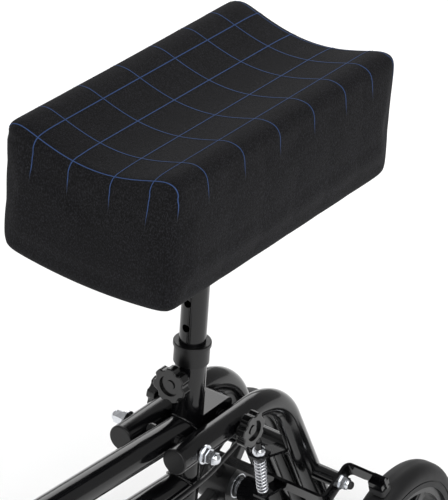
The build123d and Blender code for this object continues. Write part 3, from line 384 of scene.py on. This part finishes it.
def new_piece(name, mesh, material, body=None):
    """A smooth-shaded piece with its material and slot, riding on a body if one is given."""
    piece = bpy.data.objects.new(name, mesh)
    scene.collection.objects.link(piece)
    mesh.materials.clear()
    mesh.materials.append(material)
    mesh.polygons.foreach_set("use_smooth", [True] * len(mesh.polygons))
    if body:
        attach(piece, body)
    return piece


seal_rubber, shader, place = new_material("nitrile_seal", IOR=1.52)
pore_size = 0.0008
pores = add_node(
    seal_rubber, "ShaderNodeTexNoise", {"Vector": place, "Scale": 1 / pore_size, "Detail": 3.0}
)
shade = add_node(
    seal_rubber,
    "ShaderNodeMix",
    {0: pores.outputs["Fac"], 6: linear("#101011"), 7: linear("#1d1d1f")},
    data_type="RGBA",
)
dullness = add_node(
    seal_rubber, "ShaderNodeMapRange", {"Value": pores.outputs["Fac"], "To Min": 0.55, "To Max": 0.75}
)
bump = add_node(
    seal_rubber, "ShaderNodeBump", {"Height": pores.outputs["Fac"], "Strength": 0.2, "Distance": 0.0002}
)
feed(
    seal_rubber,
    shader,
    Base_Color=shade.outputs[2],
    Roughness=dullness.outputs["Result"],
    Normal=bump.outputs["Normal"],
)
put_on(seal_rubber, "black_rubber")
bearing_depth = 0.0003
bearing_inset = 0.0005
ring_outer_r, ring_inner_r = 0.0139, 0.0122
ring_profile = [
    (0.0, ring_outer_r),
    (bearing_depth, ring_outer_r),
    (bearing_depth, ring_inner_r),
    (0.0, ring_inner_r),
    (0.0, ring_outer_r),
]
seal_profile = [
    (0.0, 0.0121),
    (0.0001, 0.0119),
    (0.0002, 0.0104),
    (0.00028, 0.0102),
    (0.0001, 0.0098),
    (0.0, 0.0121),
]
for corner in ("rear_left", "rear_right", "front_left", "front_right"):
    tyre_low, tyre_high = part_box(f"{corner}_tyre")
    hub_low, hub_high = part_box(f"{corner}_wheel")
    hub = (tyre_low + tyre_high) / 2
    face = (hub_high.x - hub_low.x) / 2 - bearing_inset
    for end, side in (("left", 1), ("right", -1)):
        at = Vector((hub.x + side * face, hub.y, hub.z))
        body = f"{corner}_wheel"
        ring = turned(ring_profile, at, side)
        seal = turned(seal_profile, at, side)
        new_piece(f"{corner}_{end}_bearing_ring", ring, zinc, body)
        new_piece(f"{corner}_{end}_bearing_seal", seal, seal_rubber, body)

# The knee pad's cover. Black polyester fleece with a short brushed pile, cut and sewn over a thick foam block
# whose top is hollowed along its length for the shin, and pulled under a plywood board.
fleece, shader, place = new_material(
    "brushed_polyester_fleece",
    Roughness=0.95,
    Sheen_Weight=0.12,
    Sheen_Roughness=0.45,
    Specular_IOR_Level=0.2,
)
shader.inputs["Sheen Tint"].default_value = linear("#8c8c92")
pile_size = 0.0011  # real pile is finer; this is as coarse as it needs to be to show
tuft_size = 0.004
brush_size = 0.03
pile_place = add_node(
    fleece, "ShaderNodeMapping", {"Vector": place, "Scale": (1.0, 1.0, 0.55)}
).outputs["Vector"]
pile = add_node(
    fleece,
    "ShaderNodeTexNoise",
    {"Vector": pile_place, "Scale": 1 / pile_size, "Detail": 3.0, "Roughness": 0.65},
)
tufts = add_node(
    fleece, "ShaderNodeTexNoise", {"Vector": pile_place, "Scale": 1 / tuft_size, "Detail": 3.0}
)
brushed = add_node(fleece, "ShaderNodeTexNoise", {"Vector": place, "Scale": 1 / brush_size, "Detail": 3.0})
fibres = add_node(
    fleece,
    "ShaderNodeMapRange",
    {"Value": pile.outputs["Fac"], "From Min": 0.46, "From Max": 0.74},
)
shade = add_node(
    fleece,
    "ShaderNodeMix",
    {0: fibres.outputs["Result"], 6: linear("#070708"), 7: linear("#27272b")},
    data_type="RGBA",
)
patches = add_node(
    fleece, "ShaderNodeMapRange", {"Value": brushed.outputs["Fac"], "To Min": 0.8, "To Max": 1.25}
)
toned = add_node(
    fleece, "ShaderNodeVectorMath", {0: shade.outputs[2], 3: patches.outputs["Result"]}, operation="SCALE"
)
height = add_node(
    fleece,
    "ShaderNodeMath",
    {0: tufts.outputs["Fac"], 1: 0.5, 2: pile.outputs["Fac"]},
    operation="MULTIPLY_ADD",
)
bump = add_node(
    fleece, "ShaderNodeBump", {"Height": height.outputs["Value"], "Strength": 0.55, "Distance": 0.0008}
)
feed(fleece, shader, Base_Color=toned.outputs["Vector"], Normal=bump.outputs["Normal"])

pad_low, pad_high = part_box("pad_cover")
pad_middle = (pad_low + pad_high) / 2
pad_half = (pad_high - pad_low) / 2
stretch = Vector((0.0022, 0.0022, 0.0008))  # how far the filled cover stands out from the board and foam
dish_depth = 0.016
dish_half = 0.078
dish_fade = 0.045
top_fade = 0.03
hem_bow = 0.008


def smooth_step(value):
    """Runs smoothly from 0 to 1 as the value does."""
    value = min(max(value, 0.0), 1.0)
    return value * value * (3 - 2 * value)


def hollow_at(x):
    """How much of the dish's full depth the top has at a place across the pad."""
    return max(0.0, 1 - (x / dish_half) ** 2) ** 1.3


def rounded_block(half, centre, corner, top_round, foot_round):
    """A box with its upright edges, its top rim and its foot rounded."""
    form = bmesh.new()
    bmesh.ops.create_cube(form, size=2.0)
    for vert in form.verts:
        vert.co = Vector((vert.co.x * half.x, vert.co.y * half.y, vert.co.z * half.z)) + centre
    upright = [e for e in form.edges if abs(e.verts[0].co.z - e.verts[1].co.z) > half.z]
    bmesh.ops.bevel(form, geom=upright, offset=corner, segments=7, profile=0.5, affect="EDGES")
    for level_z, radius in ((centre.z + half.z, top_round), (centre.z - half.z, foot_round)):
        rim = [e for e in form.edges if all(abs(v.co.z - level_z) < 1e-6 for v in e.verts)]
        bmesh.ops.bevel(form, geom=rim, offset=radius, segments=5, profile=0.5, affect="EDGES")
    mesh = bpy.data.meshes.new("block")
    form.to_mesh(mesh)
    form.free()
    return mesh


def with_modifier(mesh, kind, **settings):
    """The mesh that a modifier makes of this one."""
    holder = bpy.data.objects.new("holder", mesh)
    scene.collection.objects.link(holder)
    modifier = holder.modifiers.new(kind, kind)
    for name, value in settings.items():
        setattr(modifier, name, value)
    made = bpy.data.meshes.new_from_object(holder.evaluated_get(bpy.context.evaluated_depsgraph_get()))
    bpy.data.objects.remove(holder)
    return made


start_half = pad_half + stretch
start_middle = pad_middle - Vector((0, 0, stretch.z))
cover_mesh = rounded_block(start_half, start_middle, corner=0.013, top_round=0.008, foot_round=0.010)
cover_mesh = with_modifier(cover_mesh, "REMESH", mode="VOXEL", voxel_size=0.005)
for vert in cover_mesh.vertices:
    near_top = smooth_step((vert.co.z - pad_high.z + dish_fade) / dish_fade)
    vert.co.z -= dish_depth * hollow_at(vert.co.x) * near_top

# The cover swells a little over the foam. Its foot, tucked under the board, is held still.
held_height = 0.03
swell_frames = 20
most_side, most_top, foam_hold = 0.0035, 0.0012, 0.92
swelling = bpy.data.objects.new("swelling", cover_mesh.copy())
scene.collection.objects.link(swelling)
cloth = swelling.modifiers.new("cloth", "CLOTH")
cloth.settings.quality = 6
cloth.settings.mass = 0.3
cloth.settings.tension_stiffness = 30
cloth.settings.compression_stiffness = 30
cloth.settings.shear_stiffness = 15
cloth.settings.bending_stiffness = 3
foot = swelling.vertex_groups.new(name="foot")
for vert in swelling.data.vertices:
    held = smooth_step((pad_low.z + held_height - vert.co.z) / held_height)
    foot.add([vert.index], held, "REPLACE")
cloth.settings.vertex_group_mass = "foot"
cloth.settings.use_pressure = True
cloth.settings.uniform_pressure_force = 4
cloth.settings.effector_weights.gravity = 0
cloth.collision_settings.use_collision = False
for frame_number in range(1, swell_frames + 1):
    scene.frame_set(frame_number)
swollen = swelling.evaluated_get(bpy.context.evaluated_depsgraph_get()).data
moves = []
for vert, blown in zip(cover_mesh.vertices, swollen.vertices):
    near_top = smooth_step((vert.co.z - pad_high.z + dish_fade) / top_fade)
    cap = most_side + (most_top - most_side) * near_top
    move = blown.co - vert.co
    outward = vert.normal.copy()
    if move.dot(outward) < 0:  # the foam holds the cover out where the cloth alone would fall in
        move -= outward * move.dot(outward) * foam_hold
    moves.append(move * min(1.0, cap / max(move.length, 1e-9)))
for vert, move in zip(cover_mesh.vertices, moves):
    vert.co += move
bpy.data.objects.remove(swelling)
scene.frame_set(1)
cover_mesh = with_modifier(cover_mesh, "SMOOTH", factor=0.5, iterations=4)
cover_mesh = with_modifier(cover_mesh, "SUBSURF", levels=1, render_levels=1)

# Below the front rim the cloth draws in a little, where the top panel laps over the front one. The front hem
# hangs in a shallow bow, and the two sides are not quite flat.
lap_depth = 0.0013
lap_height = 0.009
lap_start = 0.009
lap_middle_share = 0.35
front_reach = 0.03
side_sag = 0.0007
for vert in cover_mesh.vertices:
    front = smooth_step((pad_low.y + front_reach - vert.co.y) / front_reach)
    across = vert.co.x / pad_half.x
    rim_z = pad_high.z - dish_depth * hollow_at(vert.co.x)
    below_rim = (rim_z - vert.co.z - lap_start) / lap_height
    if 0 < below_rim < 1:
        share = lap_middle_share + (1 - lap_middle_share) * across ** 2
        vert.co.y += front * lap_depth * math.sin(math.pi * below_rim) * share
    low = smooth_step((pad_middle.z - vert.co.z) / pad_half.z)
    vert.co.z -= hem_bow * front * low * max(0.0, 1 - across ** 2)
    sag = math.sin(vert.co.y * 61 + 1.0) * math.sin(vert.co.z * 83 + 0.4)
    side = smooth_step((abs(across) - 0.9) / 0.08)
    vert.co.x += math.copysign(side_sag * sag * side, vert.co.x)
cover = new_piece("knee_pad_cover", cover_mesh, fleece, "knee_rest")
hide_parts("pad_cover")
foam_mesh = cover_mesh.copy()

# Thin blue lines are printed on the fleece in a squared pattern: eight run across the pad and four along it,
# down over its edges, where the print fades out.
blue_print, shader, place = new_material("screen_print_ink", Roughness=0.8)
fade = add_node(blue_print, "ShaderNodeAttribute", attribute_name="fade")
thread = add_node(
    blue_print, "ShaderNodeTexNoise", {"Vector": place, "Scale": 1 / pile_size, "Detail": 3.0}
)
ink = add_node(
    blue_print,
    "ShaderNodeMix",
    {0: thread.outputs["Fac"], 6: linear("#1a3057"), 7: linear("#2c4a7c")},
    data_type="RGBA",
)
faded = add_node(
    blue_print,
    "ShaderNodeMix",
    {0: fade.outputs["Fac"], 6: linear("#0f0f11"), 7: ink.outputs[2]},
    data_type="RGBA",
)
bump = add_node(
    blue_print, "ShaderNodeBump", {"Height": thread.outputs["Fac"], "Strength": 0.3, "Distance": 0.0004}
)
feed(blue_print, shader, Base_Color=faded.outputs[2], Normal=bump.outputs["Normal"])

line_width = 0.0010
line_lift = 0.00035
ray_reach = 0.6
fan_height = 0.02
tree = BVHTree.FromPolygons(
    [v.co.copy() for v in cover_mesh.vertices], [tuple(p.vertices) for p in cover_mesh.polygons]
)


def line_points(centre, first_dir, half_span, drop):
    """Points and normals where a fan of rays in one upright plane meets the cover, from edge to edge."""
    end_angle = math.atan2(half_span, pad_high.z - drop - centre.z)
    steps = 420
    found = []
    for step in range(steps + 1):
        angle = end_angle * (2 * step / steps - 1)
        ray = first_dir * math.sin(angle) + Vector((0, 0, math.cos(angle)))
        hit, normal, _, _ = tree.ray_cast(centre + ray * ray_reach, -ray)
        if hit and (hit - centre).dot(ray) > 0:
            found.append((hit, normal))
    return found


def printed_line(name, found, across, fade_length):
    """A flat ribbon along the points, narrowing to under half its width where the print fades at its ends."""
    run = [0.0]
    for (a, _), (b, _) in zip(found, found[1:]):
        run.append(run[-1] + (b - a).length)
    form = bmesh.new()
    rows, strengths = [], []
    for (point, normal), along in zip(found, run):
        strength = smooth_step(min(along, run[-1] - along) / fade_length)
        sideways = (across - normal * across.dot(normal)).normalized()
        half = sideways * (line_width / 2) * (0.45 + 0.55 * strength)
        raised = point + normal * line_lift
        rows.append((form.verts.new(raised - half), form.verts.new(raised + half)))
        strengths += [strength, strength]
    for (a, b), (c, d) in zip(rows, rows[1:]):
        form.faces.new((a, b, d, c))
    mesh = bpy.data.meshes.new(name)
    form.to_mesh(mesh)
    form.free()
    mesh.attributes.new("fade", "FLOAT", "POINT").data.foreach_set("value", strengths)
    return new_piece(name, mesh, blue_print, "knee_rest")


fan_z = pad_low.z + fan_height
cross_places = (-0.1665, -0.1287, -0.0747, -0.0207, 0.032, 0.082, 0.125, 0.162)
for number, offset in enumerate(cross_places, 1):
    fan = Vector((0, pad_middle.y + offset, fan_z))
    points = line_points(fan, Vector((1, 0, 0)), pad_half.x, drop=0.034)
    printed_line(f"cross_line_{number}", points, Vector((0, 1, 0)), fade_length=0.016)
for number, x in enumerate((-0.058, -0.020, 0.024, 0.065), 1):
    fan = Vector((x, pad_middle.y, fan_z))
    points = line_points(fan, Vector((0, 1, 0)), pad_half.y, drop=0.048)
    printed_line(f"long_line_{number}", points, Vector((1, 0, 0)), fade_length=0.018)

# Inside the cover are a block of open-cell foam and a plywood board, which show only if the cover comes off.
foam, shader, place = new_material("open_cell_foam", Roughness=0.95)
cell_size = 0.0015
cells = add_node(foam, "ShaderNodeTexVoronoi", {"Vector": place, "Scale": 1 / cell_size})
shade = add_node(
    foam,
    "ShaderNodeMix",
    {0: cells.outputs["Distance"], 6: linear("#e9dfb4"), 7: linear("#c9b988")},
    data_type="RGBA",
)
bump = add_node(
    foam, "ShaderNodeBump", {"Height": cells.outputs["Distance"], "Strength": 0.6, "Distance": 0.001}
)
feed(foam, shader, Base_Color=shade.outputs[2], Normal=bump.outputs["Normal"])
board_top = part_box("pad_board")[1].z
board_gap = 0.0002
cover_thickness = 0.0025
for vert, skin_normal in zip(foam_mesh.vertices, [v.normal.copy() for v in cover_mesh.vertices]):
    vert.co -= skin_normal * cover_thickness
    vert.co.z = max(vert.co.z, board_top + board_gap)
foam_block = new_piece("knee_pad_foam", foam_mesh, foam, "knee_rest")
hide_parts("pad_foam")

plywood, shader, place = new_material("birch_plywood", Roughness=0.7)
ply_wave = 0.0022  # the bands are 2 pi times this apart, coarser than real plies
wave_factor = 20  # the wave node multiplies every place by this
plies = add_node(
    plywood,
    "ShaderNodeTexWave",
    {"Vector": place, "Scale": 1 / (ply_wave * wave_factor), "Distortion": 0.6, "Detail": 3.0},
    bands_direction="Z",
)
shade = add_node(
    plywood,
    "ShaderNodeMix",
    {0: plies.outputs["Fac"], 6: linear("#c79c66"), 7: linear("#e3c596")},
    data_type="RGBA",
)
bump = add_node(
    plywood, "ShaderNodeBump", {"Height": plies.outputs["Fac"], "Strength": 0.2, "Distance": 0.0003}
)
feed(plywood, shader, Base_Color=shade.outputs[2], Normal=bump.outputs["Normal"])
put_on(plywood, "pad_plywood")

# The brake cable's housing. A steel-lined sleeve of extruded black PVC, 5 mm thick. It runs from the lever
# down the column, along the lower beam and back to the brake, in four stretches that meet end to end.
sleeve, shader, place = new_material("extruded_pvc_sleeve", Coat_Weight=0.2, Coat_Roughness=0.2, IOR=1.53)
draw_size = 0.002
drawn = add_node(sleeve, "ShaderNodeTexNoise", {"Vector": place, "Scale": 1 / draw_size, "Detail": 3.0})
shade = add_node(
    sleeve,
    "ShaderNodeMix",
    {0: drawn.outputs["Fac"], 6: linear("#0a0a0b"), 7: linear("#17171a")},
    data_type="RGBA",
)
dullness = add_node(
    sleeve, "ShaderNodeMapRange", {"Value": drawn.outputs["Fac"], "To Min": 0.25, "To Max": 0.4}
)
bump = add_node(
    sleeve, "ShaderNodeBump", {"Height": drawn.outputs["Fac"], "Strength": 0.08, "Distance": 0.0002}
)
feed(
    sleeve,
    shader,
    Base_Color=shade.outputs[2],
    Roughness=dullness.outputs["Result"],
    Normal=bump.outputs["Normal"],
)
put_on(sleeve, "cable_housing")

joints = {joint["name"]: joint for joint in frame["joints"]}
steering_at = Vector(joints["steering"]["pos_m"])
column_up = Vector(joints["steering"]["axis"]).normalized()
column_back = Vector((0, column_up.z, -column_up.y))
axle_low, axle_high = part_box("front_axle")
column_foot = (axle_low + axle_high) / 2


def on_column(x, v, s):
    """A point given across, behind and up the steering column, from the front axle, in millimetres."""
    return column_foot + (Vector((x, 0, 0)) + column_back * v + column_up * s) / 1000


beam_angle = math.radians(3.5)
beam_slope = math.tan(beam_angle)
beam_gap = 0.064
cable_side = 0.0195


def beside_beam(y):
    """A point of the cable's run along the left of the lower beam."""
    return Vector((cable_side, y, pivot.z - beam_gap + (pivot.y - y) * beam_slope))


def tube_along(points, radius, name):
    """A round tube along one smooth line that the points draw."""
    curve = bpy.data.curves.new(name, "CURVE")
    curve.dimensions = "3D"
    curve.bevel_depth = radius
    curve.bevel_resolution = 5
    curve.resolution_u = 12
    curve.use_fill_caps = True
    spline = curve.splines.new("NURBS")
    spline.points.add(len(points) - 1)
    for point, control in zip(points, spline.points):
        control.co = (*point, 1.0)
    spline.order_u = 3
    spline.use_endpoint_u = True
    holder = bpy.data.objects.new(name, curve)
    scene.collection.objects.link(holder)
    mesh = bpy.data.meshes.new_from_object(holder.evaluated_get(bpy.context.evaluated_depsgraph_get()))
    bpy.data.objects.remove(holder)
    return mesh


ferrule_ahead = 0.032
bar_drop = 0.010
post_behind = 0.0335
barrel_length = 0.019
grips_low, grips_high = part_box("grips")
bar_axis_z = (grips_low.z + grips_high.z) / 2
bar_axis_y = (grips_low.y + grips_high.y) / 2
ferrule_y = bar_axis_y - ferrule_ahead
bar_s = (bar_axis_z - bar_drop - column_foot.z) * 1000 / column_up.z
head_y = steering_at.y
seat_post_y = pivot.y + post_behind
spring_dir = Vector((0, 0.24, -0.97)).normalized()
spring_top = Vector((0.015, pivot.y + 0.141, pivot.z - 0.084))
barrel_top = spring_top - spring_dir * barrel_length
sleeve_r = 0.0025
column_join = on_column(20, -27, 520)
fork_join = on_column(22.5, -23.5, 302.5)
beam_join = (beside_beam(head_y + 0.045) + beside_beam(seat_post_y - 0.010)) / 2
stretches = {
    "brake_cable_at_lever": (
        [
            Vector((0.0775, ferrule_y, bar_axis_z)),
            Vector((0.071, ferrule_y, bar_axis_z)),
            Vector((0.044, ferrule_y - 0.020, bar_axis_z - 0.003)),
            on_column(26, -34, bar_s - 60),
            on_column(20, -27, bar_s - 140),
            column_join,
        ],
        ("handlebar", "column", on_column(20, -27, bar_s - 120), on_column(20, -27, 540)),
    ),
    "brake_cable_on_column": (
        [column_join, on_column(20, -27, 430), on_column(20, -27, 340), fork_join],
        ("column", "front_fork", on_column(20, -27, 400), on_column(22, -24, 310)),
    ),
    "brake_cable_at_head": (
        [fork_join, on_column(25, -20, 265), beside_beam(head_y + 0.045), beam_join],
        ("front_fork", "frame", on_column(22.5, -23.5, 295), beside_beam(head_y + 0.075)),
    ),
    "brake_cable_to_brake": (
        [
            beam_join,
            beside_beam(seat_post_y - 0.010),
            Vector((0.016, pivot.y + 0.105, pivot.z - 0.046)),
            barrel_top - spring_dir * 0.024,
            barrel_top,
        ],
        ("frame", "rear_fork", beside_beam(seat_post_y - 0.02), barrel_top - spring_dir * 0.015),
    ),
}
made_stretches = []
for name, (points, (first, second, begin, end)) in stretches.items():
    stretch = new_piece(name, tube_along(points, sleeve_r, name), sleeve)
    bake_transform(stretch)
    made_stretches.append(stretch)
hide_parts("brake_cable_upper")
for stretch in made_stretches[1:]:
    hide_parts("brake_cable_lower")

# The return spring and the brake's inner wire. The spring is close-wound from bright drawn steel with a hook
# at each end; the wire is stranded, runs down its middle and ends in a nipple under the bar's lug.
spring_steel, shader, place = new_material("bright_drawn_spring_steel", Metallic=1.0)
die_size = 0.0015
die_marks = add_node(
    spring_steel, "ShaderNodeTexNoise", {"Vector": place, "Scale": 1 / die_size, "Detail": 2.0}
)
shade = add_node(
    spring_steel,
    "ShaderNodeMix",
    {0: die_marks.outputs["Fac"], 6: linear("#c8cad0"), 7: linear("#f4f5f8")},
    data_type="RGBA",
)
dullness = add_node(
    spring_steel, "ShaderNodeMapRange", {"Value": die_marks.outputs["Fac"], "To Min": 0.12, "To Max": 0.26}
)
bump = add_node(
    spring_steel,
    "ShaderNodeBump",
    {"Height": die_marks.outputs["Fac"], "Strength": 0.06, "Distance": 0.0001},
)
feed(
    spring_steel,
    shader,
    Base_Color=shade.outputs[2],
    Roughness=dullness.outputs["Result"],
    Normal=bump.outputs["Normal"],
)
put_on(spring_steel, "spring_steel")

spring_length = 0.050
coil_r = 0.0054
coil_wire_r = 0.0009
coil_turns = 11
hook_share = 0.1
hook_narrow = 0.38
across_x = Vector((1, 0, 0))
across_y = spring_dir.cross(across_x)
spring_start = 0.0008
spring_travel = spring_length - 2 * spring_start
turn_points = 14
coil_points = []
for step in range(coil_turns * turn_points + 1):
    share = step / (coil_turns * turn_points)
    angle = 2 * math.pi * coil_turns * share
    ease = smooth_step(share / hook_share) * smooth_step((1 - share) / hook_share)
    radius = coil_r * (1 - hook_narrow * (1 - ease))
    wind = across_x * math.cos(angle) + across_y * math.sin(angle)
    coil_points.append(spring_top + spring_dir * (spring_start + spring_travel * share) + wind * radius)
spring = new_piece(
    "brake_return_spring", tube_along(coil_points, coil_wire_r, "coil"), spring_steel
)
spring_low = spring_top + spring_dir * spring_length
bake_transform(spring)
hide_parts("return_spring")

wire_r = 0.0008
wire_past = 0.0033
nipple_r, nipple_length = 0.003, 0.005
wire_low = spring_low + spring_dir * wire_past
wire_points = [barrel_top, (barrel_top + wire_low) / 2, wire_low]
wire = new_piece("brake_inner_wire", tube_along(wire_points, wire_r, "wire"), spring_steel)
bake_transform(wire)
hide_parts("brake_wire")
nipple_points = [wire_low + spring_dir * nipple_length * share for share in (0, 0.5, 1)]
nipple_mesh = tube_along(nipple_points, nipple_r, "nipple")
new_piece("brake_wire_nipple", nipple_mesh, zinc, "brake_bar")

# Over the spring a bright domed nut clamps the cable's adjuster to its bracket. It is turned steel with the
# same zinc plate as the bolts, and stands in line with the spring.
dome_lift = 0.0031
dome_profile = [
    (0.0, 0.0040),
    (0.0, 0.0066),
    (0.0020, 0.0068),
    (0.0034, 0.0066),
    (0.0052, 0.0060),
    (0.0066, 0.0050),
    (0.0074, 0.0040),
]
dome_foot = spring_top - spring_dir * dome_lift
dome_mesh = turned(dome_profile, Vector((0, 0, 0)), 1)
dome_turn = Vector((1, 0, 0)).rotation_difference(-spring_dir).to_matrix().to_4x4()
dome_mesh.transform(Matrix.Translation(dome_foot) @ dome_turn)
new_piece("adjuster_dome_nut", dome_mesh, zinc, "rear_fork")

# A cap is pushed over the outer end of each of the brake bar's pivot bolts. It is moulded in the same black
# rubber as the bearing seals, with a rounded nose.
cap_overlap = 0.0052
cap_profile = [
    (0.0, 0.0030),
    (0.0, 0.0044),
    (0.0036, 0.0044),
    (0.0054, 0.0038),
    (0.0063, 0.0024),
    (0.0066, 0.0001),
]
bolts_low, bolts_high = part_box("brake_pivot_bolts")
cap_reach = (bolts_high.x - bolts_low.x) / 2 - cap_overlap
for end, side in (("left", 1), ("right", -1)):
    cap_foot = (bolts_low + bolts_high) / 2 + Vector((side * cap_reach, 0, 0))
    cap_mesh = turned(cap_profile, cap_foot, side)
    new_piece(f"brake_bolt_{end}_cap", cap_mesh, seal_rubber, "rear_fork")

# Weld beads. Each end of the two beams is joined to the seat tube or the head tube with a run of overlapping
# puddles, and the enamel lies over them.
bead_r = 0.0016
bead_sunk = 0.2
puddle_length = 0.0028
puddle_steps = 4
puddle_dip = 0.18


def weld_bead(name, centre, axis, radius, meets, meets_axis, meets_r, body):
    """A bead round the end of a tube, along the line where it meets the side of a rounder one."""
    axis, meets_axis = axis.normalized(), meets_axis.normalized()
    side_a = meets_axis.cross(axis).normalized()
    side_b = axis.cross(side_a)
    puddles = max(24, int(2 * math.pi * radius / puddle_length))
    steps = puddles * puddle_steps
    path = []
    for step in range(steps):
        angle = 2 * math.pi * step / steps
        round_tube = side_a * math.cos(angle) + side_b * math.sin(angle)
        start = centre + round_tube * (radius + bead_r * bead_sunk)
        apart = start - meets
        flat = apart - meets_axis * apart.dot(meets_axis)
        reach = axis - meets_axis * axis.dot(meets_axis)
        a, b, c = reach.dot(reach), 2 * flat.dot(reach), flat.dot(flat) - meets_r ** 2
        root = b * b - 4 * a * c
        if root < 0:
            continue
        path.append((start + axis * ((-b - math.sqrt(root)) / (2 * a)), step))
    form = bmesh.new()
    rings = []
    around = 8
    for index, (point, step) in enumerate(path):
        tangent = (path[(index + 1) % len(path)][0] - path[index - 1][0]).normalized()
        outward = (point - centre - axis * (point - centre).dot(axis)).normalized()
        beside = tangent.cross(outward).normalized()
        puddle = bead_r * (1 - puddle_dip + puddle_dip * abs(math.sin(math.pi * step / puddle_steps)))
        ring = []
        for corner_step in range(around):
            turn_angle = 2 * math.pi * corner_step / around
            offset = (outward * math.cos(turn_angle) + beside * math.sin(turn_angle)) * puddle
            ring.append(form.verts.new(point + offset))
        rings.append(ring)
    for index, ring in enumerate(rings):
        following = rings[(index + 1) % len(rings)]
        for corner_step in range(around):
            beyond = (corner_step + 1) % around
            form.faces.new((ring[corner_step], ring[beyond], following[beyond], following[corner_step]))
    bmesh.ops.recalc_face_normals(form, faces=form.faces)
    mesh = bpy.data.meshes.new(name)
    form.to_mesh(mesh)
    form.free()
    return new_piece(name, mesh, enamel, body)


beam_r, seat_tube_r, head_tube_r = 0.0145, 0.015, 0.018
beam_forward = Vector((0, -math.cos(beam_angle), math.sin(beam_angle)))
upright = Vector((0, 0, 1))
seat_foot = Vector((0, seat_post_y, pivot.z))
for beam_name, drop in (("upper", 0.0), ("lower", beam_gap)):
    on_beam = Vector((0, pivot.y, pivot.z - drop))
    rear_name, front_name = f"{beam_name}_beam_rear_weld", f"{beam_name}_beam_front_weld"
    weld_bead(rear_name, on_beam, -beam_forward, beam_r, seat_foot, upright, seat_tube_r, "frame")
    weld_bead(front_name, on_beam, beam_forward, beam_r, steering_at, column_up, head_tube_r, "frame")
